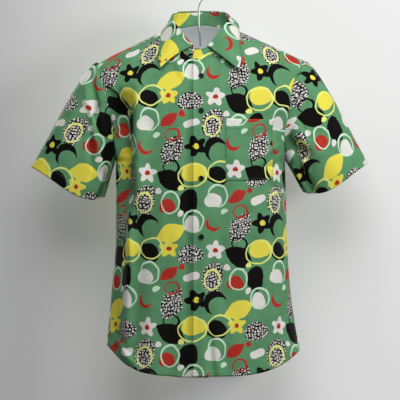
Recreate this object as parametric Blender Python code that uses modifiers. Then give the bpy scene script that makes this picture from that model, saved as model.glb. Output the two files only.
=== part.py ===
"""Short-sleeved hawaiian shirt, filled out on a plain hanger.

Units are metres, +Z is up, the front faces -Y and +X is the wearer's left. The origin is the inner top of
the hanger's hook, where the shirt hangs. Every cloth piece is a thin wall between two grids of points.
A torso grid runs over one form: rows go from the hem up to the shoulder ridge, columns go round the body.
"""

import math

import bpy
import numpy as np

# Cloth and making
CLOTH = 0.0015          # wall of the cloth
PATCH = 0.0012          # wall of the pocket laid on the front
SEAM = 0.0003           # gap between two pieces that are sewn together
LAP = 0.017             # each front runs this far past the centre line
UNDERLAP = CLOTH + 0.0006   # how far the under front lies behind the upper one

# Torso form
RIDGE_TOP = -0.0698     # shoulder lines run on to where they cross at the neck
RIDGE_FALL = {-1: 0.483, 1: 0.465}   # fall of the shoulder line on the wearer's right and left
RIDGE_ROUND = 0.020     # how far from the centre the crossing is rounded off
SHOULDER = 0.2177       # half of the shoulder width, seam to seam
ARMPIT = -0.3834        # height of the armpit
FLAT_RISE = 0.240       # part of the height over the armpit that all columns share
DEPTH = {-1: 0.108, 1: 0.104}        # front and back depth at the chest
ROUNDNESS = 2.4         # exponent of the body's rounded section
ARMHOLE_DEPTH = 0.052   # half of the armhole's front-to-back width
HEM_SIDE = {-1: 0.3932, 1: 0.4041}   # armpit down to the hem at the two side seams
HEM_CENTRE = 0.4580     # armpit down to the hem at the centre
HEM_CURVE = 2.5         # exponent of the shirt-tail curve

# Neck and collar
NECK_HALF = 0.070       # half of the neck seam's width
NECK_FRONT = 40.5       # degrees down the form from the ridge to the neck seam, in front
NECK_BACK = 19.5        # the same at the back
ROLL_HALF = 0.060       # half of the width across the top of the stand
ROLL_CENTRE_Y = -0.016  # middle of the stand's top, front to back
ROLL_DEPTH = 0.050      # half of its depth
ROLL_CREST = 0.0035     # the fold of the leaf stands this far over the stand
LEAF_END = 166.0        # degrees round the neck to each front end of the leaf
LEAF_CLEAR = 0.0012     # space between the lying leaf and the body
LEAF_LIFT = {-1: 0.004, 1: 0.007}    # how far its points stand off further
LEAF_BULGE = (0.003, 0.0035)         # how far it rounds out on its way down: middle, and more towards +X

# Buttons, hanger
BUTTON_RADIUS = 0.0055
BUTTON_THICK = 0.0022
BUTTON_HEIGHTS = (-0.2062, -0.2803, -0.4226, -0.5461, -0.6790)
ARM_RADIUS = 0.003      # the hanger's arms are a round rod
ARM_REACH = 0.200
ARM_DIP = 0.066         # how far the arms dip under the neck opening
ARM_DIP_HALF = 0.080    # half of the width of that dip
WIRE_RADIUS = 0.0022
HOOK_INNER = 0.018      # inner radius of the hook

# Side seams. drop: armpit downwards; right, left: half-widths on the wearer's right and left
SIDES = {
    "drop": (0.000, 0.085, 0.170, 0.270, 0.333, 0.404),
    -1: (0.1802, 0.1802, 0.1802, 0.1885, 0.1936, 0.2010),
    1: (0.1796, 0.1819, 0.1840, 0.1906, 0.1987, 0.2111),
}
# Depth of the body below the armpit, as a share of the chest's. drop as above
FALL = {"drop": (0.00, 0.12, 0.25, 0.46), "share": (1.00, 0.985, 0.94, 0.90)}
# Armhole seams from the front. lift: 0 at the armpit, 1 at the shoulder; half-widths
ARMHOLES = {
    "lift": (0.00, 0.20, 0.45, 0.65, 0.85, 1.00),
    -1: (0.1802, 0.1840, 0.1935, 0.2040, 0.2165, 0.2177),
    1: (0.1796, 0.1780, 0.1880, 0.1940, 0.2090, 0.2177),
}
# Top edge of the stand. turn: degrees round the neck from the back
STAND_TOP = {
    "turn": (0, 45, 90, 130, 150, 165, 180, 195),
    "height": (-0.0680, -0.0700, -0.0820, -0.1050, -0.1270, -0.1430, -0.1490, -0.1510),
}
# Free edge of the leaf where it lies on the body. across: column on the form; over: degrees, back positive
LEAF_EDGE = {
    "turn": (0, 15, 30, 45, 60, 75, 90, 103, 115, 127, 139, 152, 166),
    "across": (0.000, 0.020, 0.039, 0.056, 0.069, 0.077, 0.0805, 0.0825, 0.084, 0.0845, 0.084, 0.0835, 0.0835),
    "over": (25.0, 24.5, 22.5, 19.0, 14.0, 8.0, 0.0, -12.6, -19.9, -26.4, -31.6, -35.9, -40.5),
}
# Cuffs, as seen from the front. top and under: ends of the opening (x, z); half: half-depth;
# shift: middle of the opening front to back; swell: how far the hem bows out at its top and under ends
CUFFS = {
    -1: dict(top=(-0.3600, -0.3990), under=(-0.2034, -0.4614), half=0.036, shift=-0.008, swell=(0.005, 0.038)),
    1: dict(top=(0.3563, -0.3898), under=(0.2183, -0.4516), half=0.046, shift=-0.008, swell=(0.008, 0.034)),
}
CROWN = 0.012           # how far the top of the sleeve rounds out over its straight line
FULLNESS = 0.009        # how far the front and back of a sleeve round out

# Folds of the fronts (face -1) and the back (face 1). Each runs from (x0, z0) to (x1, z1); half: half-width;
# height: over the form, negative for a trough
FOLDS = (
    # face, x0, z0, x1, z1, half, height
    (-1, -0.150, -0.350, -0.150, -0.455, 0.017, -0.0090),
    (-1, -0.128, -0.345, -0.128, -0.450, 0.012, 0.0050),
    (-1, -0.156, -0.480, -0.152, -0.580, 0.013, 0.0045),
    (-1, -0.136, -0.500, -0.134, -0.620, 0.014, -0.0035),
    (-1, -0.100, -0.600, -0.112, -0.830, 0.022, 0.0045),
    (-1, -0.060, -0.640, -0.064, -0.840, 0.020, -0.0040),
    (-1, 0.040, -0.690, 0.032, -0.845, 0.018, 0.0045),
    (-1, 0.120, -0.560, 0.112, -0.835, 0.024, -0.0045),
    (-1, 0.152, -0.400, 0.150, -0.760, 0.016, 0.0040),
    (-1, 0.172, -0.330, 0.120, -0.400, 0.014, 0.0035),
    (-1, -0.165, -0.240, -0.100, -0.330, 0.016, -0.0030),
    (1, -0.080, -0.270, -0.064, -0.820, 0.026, 0.0070),
    (1, -0.030, -0.300, -0.022, -0.830, 0.024, -0.0050),
    (1, 0.070, -0.250, 0.088, -0.825, 0.024, 0.0065),
    (1, 0.132, -0.340, 0.124, -0.780, 0.018, -0.0050),
    (1, -0.136, -0.330, -0.132, -0.720, 0.018, -0.0055),
    (1, 0.020, -0.520, 0.030, -0.840, 0.020, 0.0040),
)
# Folds of the sleeves. turn: degrees round from the top by way of the front; start, end: along the sleeve
SLEEVE_FOLDS = (
    # side, turn, start, end, half, height
    (-1, 62, 0.10, 0.62, 13, -0.0050),
    (-1, 92, 0.05, 0.45, 14, 0.0045),
    (-1, 128, 0.30, 1.00, 13, 0.0050),
    (-1, 150, 0.45, 1.00, 11, -0.0040),
    (-1, 255, 0.10, 0.80, 15, -0.0050),
    (-1, 295, 0.20, 0.90, 15, 0.0045),
    (1, 70, 0.12, 0.66, 14, -0.0045),
    (1, 105, 0.10, 0.70, 15, 0.0045),
    (1, 140, 0.20, 1.00, 13, -0.0055),
    (1, 245, 0.10, 0.80, 15, 0.0050),
    (1, 290, 0.20, 0.90, 15, -0.0045),
)

# Where the grid lines lie
NECK_TURNS = (math.degrees(math.asin(LAP / NECK_HALF)), 28, 41, 53, 65, 77, 90)
SIDE_SHARES = (0.45, 0.58, 0.71, 0.79, 0.846, 0.91, 0.96, 0.99, 1.0)
LOWER_ROWS = (1.0, 0.935, 0.87, 0.805, 0.74, 0.675, 0.61, 0.545, 0.48, 0.415, 0.35, 0.285, 0.225, 0.16, 0.097, 0.048)
CHEST_ROWS = (90.0, 88.0, 84.5, 80.0, 75.0, 69.3, 60.0)
YOKE_STEPS = 6
POCKET_LOW, POCKET_HIGH = 0.097, 69.3      # rows, from LOWER_ROWS and CHEST_ROWS
POCKET_IN, POCKET_OUT = 65, 0.846          # columns, from NECK_TURNS and SIDE_SHARES
SLEEVE_ROWS = (0.0, 0.05, 0.13, 0.24, 0.37, 0.50, 0.63, 0.76, 0.88, 1.0)
STAND_ROWS = (0.0, 0.5, 1.0)
LEAF_FALL = (0.0, 0.28, 0.56, 0.80, 1.0)


# ---------------------------------------------------------------- numbers

def through(stations, values, at):
    """Smooth curve through a table's rows: cubic pieces that never overshoot a row."""
    x, y = np.asarray(stations, float), np.asarray(values, float)
    step = np.diff(x)
    chord = np.diff(y) / step
    product = chord[:-1] * chord[1:]
    total = np.where(product > 0, chord[:-1] + chord[1:], 1.0)
    slope = np.concatenate([chord[:1], np.where(product > 0, 2 * product / total, 0.0), chord[-1:]])
    at = np.clip(np.asarray(at, float), x[0], x[-1])
    k = np.clip(np.searchsorted(x, at) - 1, 0, len(x) - 2)
    u = (at - x[k]) / step[k]
    start = y[k] * (1 + 2 * u) * (1 - u) ** 2 + slope[k] * step[k] * u * (1 - u) ** 2
    return start + y[k + 1] * u * u * (3 - 2 * u) + slope[k + 1] * step[k] * u * u * (u - 1)


def ease(value):
    """0 up to 0, 1 from 1 on, and a smooth S between."""
    u = np.clip(value, 0.0, 1.0)
    return u * u * (3 - 2 * u)


def unit(vectors):
    """The same directions, one long."""
    return vectors / np.maximum(np.linalg.norm(vectors, axis=-1, keepdims=True), 1e-12)


def by_side(across, table):
    """One value from a table with a row for each side of the body."""
    return np.where(across < 0, table[-1], table[1])


def edge_table(table, stations, at, across):
    """Half-width from a table that has a column for each side of the body."""
    right = through(table[stations], table[-1], at)
    left = through(table[stations], table[1], at)
    return np.where(across < 0, right, left)


# ---------------------------------------------------------------- torso form

def section(share, reach=1.0):
    """Rounded section of the body: 1 at the middle, 0 where share is 1; reach under 1 leaves a flatter end."""
    def arc(part):
        return (1 - np.clip(np.abs(part), 0, 1) ** ROUNDNESS) ** (1 / ROUNDNESS)
    end = arc(reach)
    return (arc(share * reach) - end) / (1 - end)


def sideways(across, half_width):
    """Column's x: it keeps its own place near the front edges and follows the body's width further out."""
    share = across / SHOULDER
    return across + (share * half_width - across) * ease(np.abs(share) / 0.35)


def ridge(x):
    """Height of the shoulder line."""
    return RIDGE_TOP - by_side(x, RIDGE_FALL) * np.sqrt(x * x + RIDGE_ROUND ** 2)


def upper_form(across, over, face):
    """Points from armpit height (over 90) to the shoulder ridge (over 0): each column is an arch over it."""
    angle = np.radians(over)
    lift = np.cos(angle)
    x = sideways(across, edge_table(ARMHOLES, "lift", lift, across))
    z = ARMPIT + FLAT_RISE * lift + (ridge(x) - ARMPIT - FLAT_RISE) * lift ** 3
    armhole = ARMHOLE_DEPTH * np.sqrt(np.maximum(4 * lift * (1 - lift), 0))
    reach = 1 - 0.2 * ease(lift / 0.5)
    y = armhole + (DEPTH[face] * np.sin(angle) - armhole) * section(across / SHOULDER, reach)
    return np.stack([x, face * y, z], axis=-1)


def lower_form(across, down, face):
    """Points from armpit height (down 0) to the hem (down 1): closed rounded sections."""
    share = across / SHOULDER
    side = by_side(across, HEM_SIDE)
    drop = down * (side + (HEM_CENTRE - side) * (1 - np.abs(share) ** HEM_CURVE))
    x = sideways(across, edge_table(SIDES, "drop", down * side, across))
    depth = DEPTH[face] * through(FALL["drop"], FALL["share"], drop)
    return np.stack([x, face * depth * section(share), ARMPIT - drop], axis=-1)


def fold_height(points, across, over, face):
    """How far the folds lift the cloth off the form, fading out at the seams."""
    x, z = points[..., 0], points[..., 2]
    height = np.zeros_like(x)
    for side, x0, z0, x1, z1, half, peak in FOLDS:
        if side != face:
            continue
        run = np.array([x1 - x0, z1 - z0])
        along = ((x - x0) * run[0] + (z - z0) * run[1]) / (run @ run)
        off = ((x - x0) * run[1] - (z - z0) * run[0]) / np.linalg.norm(run)
        ends = ease((along + 0.18) / 0.36) * (1 if z1 < -0.8 else ease((1.18 - along) / 0.36))
        height += peak * np.exp(-(off / half) ** 2) * ends
    return height * (1 - np.abs(across / SHOULDER) ** 10) * ease(over / 40.0)


def neck_over(turn):
    """Degrees from the ridge to the neck seam, by degrees round the neck from the back; back positive."""
    lean = np.cos(np.radians(turn))
    return lean * np.where(lean > 0, NECK_BACK, NECK_FRONT)


def torso_grid(columns, face):
    """Grid of the form with its folds. columns: (across, the neck's turn or None); rows run up from the hem."""
    made = []
    for across, turn in columns:
        top = 0.0 if turn is None else abs(float(neck_over(turn if face < 0 else 180 - turn)))
        steps = np.arange(1, YOKE_STEPS + 1) / YOKE_STEPS
        over = np.concatenate([CHEST_ROWS, CHEST_ROWS[-1] + (top - CHEST_ROWS[-1]) * steps])
        low = lower_form(np.full(len(LOWER_ROWS), across), np.array(LOWER_ROWS), face)
        high = upper_form(np.full(len(over), across), over, face)
        points = np.concatenate([low, high])
        over = np.concatenate([np.full(len(LOWER_ROWS), 90.0), over])
        lifted = fold_height(points, across, over, face)
        outward = np.stack([0.35 * across / SHOULDER * np.ones_like(lifted), np.full_like(lifted, face),
                            np.zeros_like(lifted)], axis=-1)
        made.append(points + unit(outward) * lifted[:, None])
    return np.stack(made, axis=1)


def welded_normals(grids):
    """Outward unit normals at every point of the grids, averaged over all faces of all grids that meet there."""
    facing = []
    for grid in grids:
        sums = np.zeros_like(grid)
        a, b, c, d = grid[:-1, :-1], grid[:-1, 1:], grid[1:, 1:], grid[1:, :-1]
        face = np.cross(c - a, d - b)
        for rows, cols in ((slice(0, -1), slice(0, -1)), (slice(0, -1), slice(1, None)),
                           (slice(1, None), slice(1, None)), (slice(1, None), slice(0, -1))):
            sums[rows, cols] += face
        facing.append(sums.reshape(-1, 3))
    places = np.concatenate([grid.reshape(-1, 3) for grid in grids])
    _, same = np.unique(np.round(places, 6), axis=0, return_inverse=True)
    same = same.reshape(-1)
    total = np.zeros((same.max() + 1, 3))
    np.add.at(total, same, np.concatenate(facing))
    normals = unit(total[same])
    ends = np.cumsum([len(part) for part in facing])[:-1]
    return [part.reshape(grid.shape) for part, grid in zip(np.split(normals, ends), grids)]


# ---------------------------------------------------------------- meshes

PIECES = bpy.data.collections.new("hawaiian_shirt")


def finish(name, colour, roughness, metallic=0.0):
    """Plain shader for one piece."""
    look = bpy.data.materials.new(name)
    look.use_nodes = True
    shader = look.node_tree.nodes["Principled BSDF"]
    shader.inputs["Base Color"].default_value = (*colour, 1.0)
    shader.inputs["Roughness"].default_value = roughness
    shader.inputs["Metallic"].default_value = metallic
    return look


def wall(name, outer, inner, look, ring=False):
    """Closed wall between two grids of the same size; in a ring the last column joins the first."""
    rows, cols = outer.shape[:2]
    index = np.arange(rows * cols).reshape(rows, cols)
    if ring:
        index = np.concatenate([index, index[:, :1]], axis=1)
    a, b, c, d = index[:-1, :-1].ravel(), index[:-1, 1:].ravel(), index[1:, 1:].ravel(), index[1:, :-1].ravel()
    skin = np.concatenate([np.stack([a, b, c], 1), np.stack([a, c, d], 1)])
    depth = rows * cols
    edges = [index[0], index[-1][::-1]]
    if not ring:
        edges += [index[:, -1], index[::-1, 0]]
    rims = []
    for edge in edges:
        here, ahead = edge[:-1], edge[1:]
        rims += [np.stack([ahead, here, here + depth], 1), np.stack([ahead, here + depth, ahead + depth], 1)]
    faces = np.concatenate([skin, skin[:, ::-1] + depth, *rims])
    points = np.concatenate([outer.reshape(-1, 3), inner.reshape(-1, 3)])
    p, q, r = points[faces[:, 0]], points[faces[:, 1]], points[faces[:, 2]]
    if np.einsum("ij,ij->", p, np.cross(q, r)) < 0:
        faces = faces[:, ::-1]
    mesh = bpy.data.meshes.new(name)
    mesh.from_pydata(points.tolist(), [], faces.tolist())
    mesh.materials.append(look)
    mesh.shade_smooth()
    mesh.set_sharp_from_angle(angle=math.radians(50))
    piece = bpy.data.objects.new(name, mesh)
    PIECES.objects.link(piece)
    return piece


def keep(piece, look):
    """Moves a primitive or curve into the shirt's collection and gives it its finish."""
    for home in list(piece.users_collection):
        home.objects.unlink(piece)
    PIECES.objects.link(piece)
    piece.data.materials.clear()
    piece.data.materials.append(look)
    return piece


def rod(name, route, radius, look):
    """Round rod or wire along a route of points, its ends closed."""
    line = bpy.data.curves.new(name, "CURVE")
    line.dimensions = "3D"
    line.bevel_depth = radius
    line.bevel_resolution = 2
    line.use_fill_caps = True
    spline = line.splines.new("POLY")
    spline.points.add(len(route) - 1)
    for point, place in zip(spline.points, route):
        point.co = (*place, 1.0)
    return keep(bpy.data.objects.new(name, line), look)


def drawn_in(grid, side_rows=None, ridge_columns=None):
    """Half a seam's gap, as a shift of the outermost points towards their neighbours on the piece."""
    shift = np.zeros_like(grid)
    if side_rows is not None:
        for rows, edge, beside in side_rows:
            shift[rows, edge] += unit(grid[rows, beside] - grid[rows, edge])
    if ridge_columns is not None:
        for cols in ridge_columns:
            shift[-1, cols] += unit(grid[-2, cols] - grid[-1, cols])
    return shift * SEAM / 2


def beyond(line, inside, normals, heading, next_normals, thick):
    """Where the next piece starts: one seam's gap past the edge line, clear of the edge's own wall.

    line: points of the edge; inside: the points next to it on its piece; heading: the way the next piece
    leaves the edge; next_normals: its outward normals there; thick: its wall."""
    along = unit(np.gradient(line, axis=0))
    away = unit(np.cross(normals, along))
    away *= np.sign(np.einsum("ij,ij->i", away, line - inside))[:, None]
    turned_back = ease((0.3 - np.einsum("ij,ij->i", heading, away)) / 0.6)[:, None]
    gap = SEAM * unit(away * (1 - turned_back) + normals * turned_back)
    mitre = thick * np.maximum(np.einsum("ij,ij->i", next_normals, away), 0)[:, None] * away
    return line + gap + mitre * (1 - turned_back)


# ---------------------------------------------------------------- the shirt

def neck_columns(side):
    """Columns from beside the centre line to the neck point, (across, turn), outwards."""
    return [(side * NECK_HALF * math.sin(math.radians(turn)), 180 - turn) for turn in NECK_TURNS]


def shoulder_columns(side):
    """Columns along the shoulder seam, outwards."""
    return [(side * SHOULDER * share, None) for share in SIDE_SHARES]


def half_columns(side):
    """All columns of one side of the body, outwards from the lap."""
    return neck_columns(side) + shoulder_columns(side)


def build_torso():
    """Nominal grids and normals of the fronts and the back, columns running towards +X."""
    right = half_columns(-1)[::-1] + [(0.0, 180)] + neck_columns(1)[:1]
    left = neck_columns(-1)[:1] + [(0.0, 180)] + half_columns(1)
    whole = half_columns(-1)[::-1] + [(0.0, 180)] + half_columns(1)
    grids = [torso_grid(right, -1), torso_grid(left, -1), torso_grid(whole, 1)[:, ::-1]]
    normals = welded_normals(grids)
    return dict(zip(("front_right", "front_left", "back"), zip(grids, normals)))


def inset(across):
    """How much of the underlap a column of the right front takes."""
    return UNDERLAP * ease((across + 0.050) / 0.030)


def armhole(torso, side):
    """Armhole seam from the shoulder down the front, round the armpit and up the back, with its normals."""
    low = len(LOWER_ROWS)
    front, front_n = torso["front_left" if side > 0 else "front_right"]
    back, back_n = torso["back"]
    edge, beside = (-1, -2) if side > 0 else (0, 1)
    back_edge, back_beside = (0, 1) if side > 0 else (-1, -2)

    def loop(first, last, first_edge, last_edge):
        return np.concatenate([first[low:, first_edge][::-1], last[low + 1:-1, last_edge]])
    return (loop(front, back, edge, back_edge), loop(front, back, beside, back_beside),
            loop(front_n, back_n, edge, back_edge))


def sleeve_grid(line, side):
    """Sleeve from its armhole seam to the cuff: straight lines, rounded out, with folds."""
    cuff = CUFFS[side]
    top = np.array([cuff["top"][0], cuff["shift"], cuff["top"][1]])
    under = np.array([cuff["under"][0], cuff["shift"], cuff["under"][1]])
    closed = np.concatenate([line, line[:1]])
    steps = np.linalg.norm(np.diff(closed, axis=0), axis=1)
    half = len(CHEST_ROWS) + YOKE_STEPS - 1
    front, back = steps[:half].sum(), steps[half:].sum()
    run = np.concatenate([[0], np.cumsum(steps)[:-1]])
    turn = np.where(np.arange(len(line)) <= half, 180 * run / front, 180 + 180 * (run - front) / back)
    angle = np.radians(turn)
    width = np.linalg.norm(under - top)
    across = (under - top) / width
    out = unit(np.array([side * abs(across[2]), 0.0, -abs(across[0])]))
    share = (1 - np.cos(angle)) / 2
    swell = np.sin(angle) ** 2 * (cuff["swell"][0] + (cuff["swell"][1] - cuff["swell"][0]) * share ** 1.5)
    hem = top + np.outer(share * width, across) + np.outer(swell, out)
    hem[:, 1] -= cuff["half"] * np.sin(angle)
    rows = []
    sideways_out = unit(np.array([side * abs(out[2]), 0.0, abs(out[0])]))
    for u in SLEEVE_ROWS:
        ring = line + (hem - line) * u
        crown = CROWN * math.sin(math.pi * u ** 0.45) * np.maximum(np.cos(angle), 0) ** 2
        ring = ring + np.outer(crown, sideways_out)
        ring[:, 1] -= FULLNESS * math.sin(math.pi * u) * np.sin(angle)
        height = np.zeros(len(line))
        for which, at, start, end, spread, peak in SLEEVE_FOLDS:
            if which == side:
                ends = ease((u - start) / 0.2) * (1.0 if end >= 1 else ease((end - u) / 0.2))
                height += peak * ends * np.exp(-((turn - at) / spread) ** 2)
        outward = np.outer(np.cos(angle), sideways_out) + np.outer(-np.sin(angle), [0, 1, 0])
        rows.append(ring + outward * height[:, None])
    return np.stack(rows)


def ring_normals(grid):
    """Outward normals of a grid that closes on itself."""
    return welded_normals([np.concatenate([grid, grid[:, :1]], axis=1)])[0][:, :-1]


def pointing_out(normals, grid):
    """The normals, turned round if they point to the middle of the ring."""
    away = grid - grid.mean(axis=1, keepdims=True)
    return normals if np.einsum("ijk,ijk->", normals, away) > 0 else -normals


def build_sleeve(torso, side, name, look):
    line, inside, normals = armhole(torso, side)
    grid = sleeve_grid(line, side)
    own = pointing_out(ring_normals(grid), grid)
    heading = unit(grid[1] - grid[0])
    ends = np.concatenate([line[-1:], line, line[:1]])
    wrap = lambda rows: np.concatenate([rows[-1:], rows, rows[:1]])
    start = beyond(ends, wrap(inside), wrap(normals), wrap(heading), wrap(own[0]), CLOTH)[1:-1]
    grid = sleeve_grid(line, side)
    for row, u in enumerate(SLEEVE_ROWS):
        grid[row] += (start - line) * (1 - u)
    own = pointing_out(ring_normals(grid), grid)
    return wall(name, grid, grid - CLOTH * own, look, ring=True)


def stand_turns():
    """Degrees round the neck of the stand's columns, from the under end on the right to the upper end."""
    one = [180 - turn for turn in NECK_TURNS]
    right = [-(360 - one[0])] + [-180.0] + [-turn for turn in one]
    back = [-turn for turn in NECK_TURNS[:-1][::-1]] + [0.0] + list(NECK_TURNS[:-1])
    return right + back + one[::-1] + [180.0, 360 - one[0]]


def neck_seam(torso):
    """The neck seam under every column of the stand: points, the points inside them, and normals."""
    turns = stand_turns()
    pick = {}
    for name in ("front_right", "front_left", "back"):
        grid, normals = torso[name]
        pick[name] = (grid, normals)
    neck = len(NECK_TURNS)
    shoulder = len(SIDE_SHARES)
    places = []
    right_cols = list(range(shoulder + neck + 1, shoulder - 1, -1))
    left_cols = list(range(neck + 1, -1, -1))
    for col in right_cols:
        places.append(("front_right", col))
    middle = shoulder + neck
    for step in range(neck - 1, -neck, -1):
        places.append(("back", middle + step))
    for col in left_cols:
        places.append(("front_left", col))
    points = np.array([pick[name][0][-1, col] for name, col in places])
    inside = np.array([pick[name][0][-2, col] for name, col in places])
    normals = np.array([pick[name][1][-1, col] for name, col in places])
    return np.array(turns), points, inside, normals


def stand_top(turns):
    """Top edge of the stand."""
    angle = np.radians(turns)
    height = through(STAND_TOP["turn"], STAND_TOP["height"], np.abs(turns))
    return np.stack([ROLL_HALF * np.sin(angle), ROLL_CENTRE_Y + ROLL_DEPTH * np.cos(angle), height], axis=-1)


def build_collar(torso, look):
    turns, seam, inside, normals = neck_seam(torso)
    under = np.where(turns < 0, inset(seam[:, 0]) * (turns < -100), 0.0)[:, None]
    top = stand_top(turns)
    radial = unit(np.stack([np.sin(np.radians(turns)), np.cos(np.radians(turns)), np.zeros(len(turns))], axis=-1))
    heading = unit(top - seam)
    side = unit(np.cross(heading, np.gradient(seam, axis=0)))
    side *= np.sign(np.einsum("ij,ij->i", side, radial))[:, None]
    start = beyond(seam, inside, normals, heading, side, CLOTH)
    rows = [start + (top - start) * v for v in STAND_ROWS]
    grid = np.stack(rows) - under * normals
    own = welded_normals([grid])[0]
    own *= np.sign(np.einsum("ijk,jk->", own, radial))
    wall("collar_stand", grid, grid - CLOTH * own, look)

    shown = np.abs(turns) <= LEAF_END
    turn, crest = turns[shown], top[shown] - under[shown] * normals[shown]
    out = radial[shown]
    across = np.sign(turn) * through(LEAF_EDGE["turn"], LEAF_EDGE["across"], np.abs(turn))
    over = through(LEAF_EDGE["turn"], LEAF_EDGE["over"], np.abs(turn))
    lying = np.array([upper_form(np.array(a), np.array(abs(o)), 1 if o >= 0 else -1)
                      for a, o in zip(across, over)])
    step = 0.002
    nearby = [np.array([upper_form(np.array(a + da), np.array(max(abs(o) + do, 0.5)), 1 if o >= 0 else -1)
                        for a, o in zip(across, over)]) for da, do in ((step, 0), (-step, 0), (0, 1.0), (0, -1.0))]
    off = unit(np.cross(nearby[0] - nearby[1], nearby[2] - nearby[3]))
    off *= np.where(off[:, 2] < 0, -1, 1)[:, None]
    lift = by_side(turn, LEAF_LIFT) * ease((np.abs(turn) - 112) / 48)
    edge = lying + off * (CLOTH + LEAF_CLEAR + lift[:, None])
    bulge = (LEAF_BULGE[0] + LEAF_BULGE[1] * np.sin(np.radians(turn)))[:, None]
    up = np.array([0.0, 0.0, 1.0])
    seat = crest + up * SEAM
    ridge_top = crest + up * (SEAM + ROLL_CREST) + out * 0.0012
    shoulder = crest + up * (SEAM + 0.4 * ROLL_CREST) + out * 0.0036
    rows = [seat, ridge_top] + [shoulder + (edge - shoulder) * v + out * bulge * math.sin(math.pi * v)
                                for v in LEAF_FALL]
    grid = np.stack(rows)
    own = welded_normals([grid])[0]
    own *= np.sign(np.einsum("ijk,jk->", own[2:], out))
    own[0] = -out
    wall("collar_leaf", grid, grid - CLOTH * own, look)


def build_pocket(torso, look):
    grid, normals = torso["front_left"]
    rows = LOWER_ROWS.index(POCKET_LOW), len(LOWER_ROWS) + CHEST_ROWS.index(POCKET_HIGH)
    cols = 2 + NECK_TURNS.index(POCKET_IN), 2 + len(NECK_TURNS) + SIDE_SHARES.index(POCKET_OUT)
    part = (slice(rows[0], rows[1] + 1), slice(cols[0], cols[1] + 1))
    points, facing = grid[part], normals[part]
    wall("chest_pocket", points + (SEAM + PATCH) * facing, points + SEAM * facing, look)


def build_buttons(torso, look):
    """Five discs down the lap, each turned to the cloth it is sewn to."""
    grid, normals = torso["front_left"]
    middle, facing = grid[:, 1], normals[:, 1]
    for number, height in enumerate(BUTTON_HEIGHTS, 1):
        place = np.array([np.interp(height, middle[:, 2], middle[:, axis]) for axis in range(3)])
        normal = unit(np.array([np.interp(height, middle[:, 2], facing[:, axis]) for axis in range(3)]))
        centre = place + normal * (SEAM + BUTTON_THICK / 2)
        bpy.ops.mesh.primitive_cylinder_add(vertices=20, radius=BUTTON_RADIUS, depth=BUTTON_THICK, location=centre,
                                            rotation=(math.pi / 2 - math.asin(normal[2]), 0, 0))
        disc = bpy.context.active_object
        disc.name = f"button_{number}"
        keep(disc, look)
        rim = disc.modifiers.new("rim", "BEVEL")
        rim.width = 0.0005
        rim.segments = 1
        rim.limit_method = "ANGLE"


def build_hanger(chrome):
    """Rod arms along the underside of the shoulders, dipping under the open neck, and a wire hook."""
    def arm_height(x):
        slant = np.sqrt(1 + by_side(x, RIDGE_FALL) ** 2)
        dip = ARM_DIP * (1 - ease(np.abs(x) / ARM_DIP_HALF))
        return ridge(x) - (CLOTH + SEAM + ARM_RADIUS) * slant - dip
    reach = np.linspace(-1, 1, 41)
    reach = ARM_REACH * np.sign(reach) * np.abs(reach) ** 1.2
    rod("hanger_arms", [(x, 0.0, arm_height(x)) for x in reach], ARM_RADIUS, chrome)
    round_mid = HOOK_INNER + WIRE_RADIUS
    foot = float(arm_height(np.array(WIRE_RADIUS))) + ARM_RADIUS + SEAM
    stem = [(0.0, 0.0, foot), (-0.0012, 0.0, -0.1250), (-0.0034, 0.0, -0.1000), (-0.0040, 0.0, -0.0780),
            (-0.0036, 0.0, -0.0640), (-0.0020, 0.0, -0.0530), (0.0010, 0.0, -0.0445), (0.0050, 0.0, -0.0392)]
    bend = [(round_mid * math.cos(math.radians(turn)), 0.0, -HOOK_INNER + round_mid * math.sin(math.radians(turn)))
            for turn in range(-60, 211, 15)]
    rod("hanger_hook", stem + bend, WIRE_RADIUS, chrome)


def build_shirt():
    cloth = finish("printed_cloth", (0.10, 0.33, 0.15), 0.85)
    dark = finish("button_horn", (0.012, 0.016, 0.012), 0.35)
    chrome = finish("hanger_rod", (0.70, 0.70, 0.70), 0.22, 1.0)
    torso = build_torso()
    low = len(LOWER_ROWS)
    seam_rows = slice(0, low + 1)
    shoulder = len(SIDE_SHARES) + 1
    for name, (grid, normals) in torso.items():
        if name == "front_right":
            sides, caps = [(seam_rows, 0, 1)], [slice(0, shoulder)]
        elif name == "front_left":
            sides, caps = [(seam_rows, -1, -2)], [slice(-shoulder, None)]
        else:
            sides, caps = [(seam_rows, 0, 1), (seam_rows, -1, -2)], [slice(0, shoulder), slice(-shoulder, None)]
        outer = grid + drawn_in(grid, sides, caps)
        if name == "front_right":
            outer = outer - normals * inset(grid[..., 0])[..., None]
        wall(name, outer, outer - CLOTH * normals, cloth)
    build_sleeve(torso, 1, "sleeve_left", cloth)
    build_sleeve(torso, -1, "sleeve_right", cloth)
    build_collar(torso, cloth)
    build_pocket(torso, cloth)
    build_buttons(torso, dark)
    build_hanger(chrome)


for leftover in list(bpy.data.objects):
    bpy.data.objects.remove(leftover, do_unlink=True)
bpy.context.scene.collection.children.link(PIECES)
build_shirt()
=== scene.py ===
import math

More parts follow.
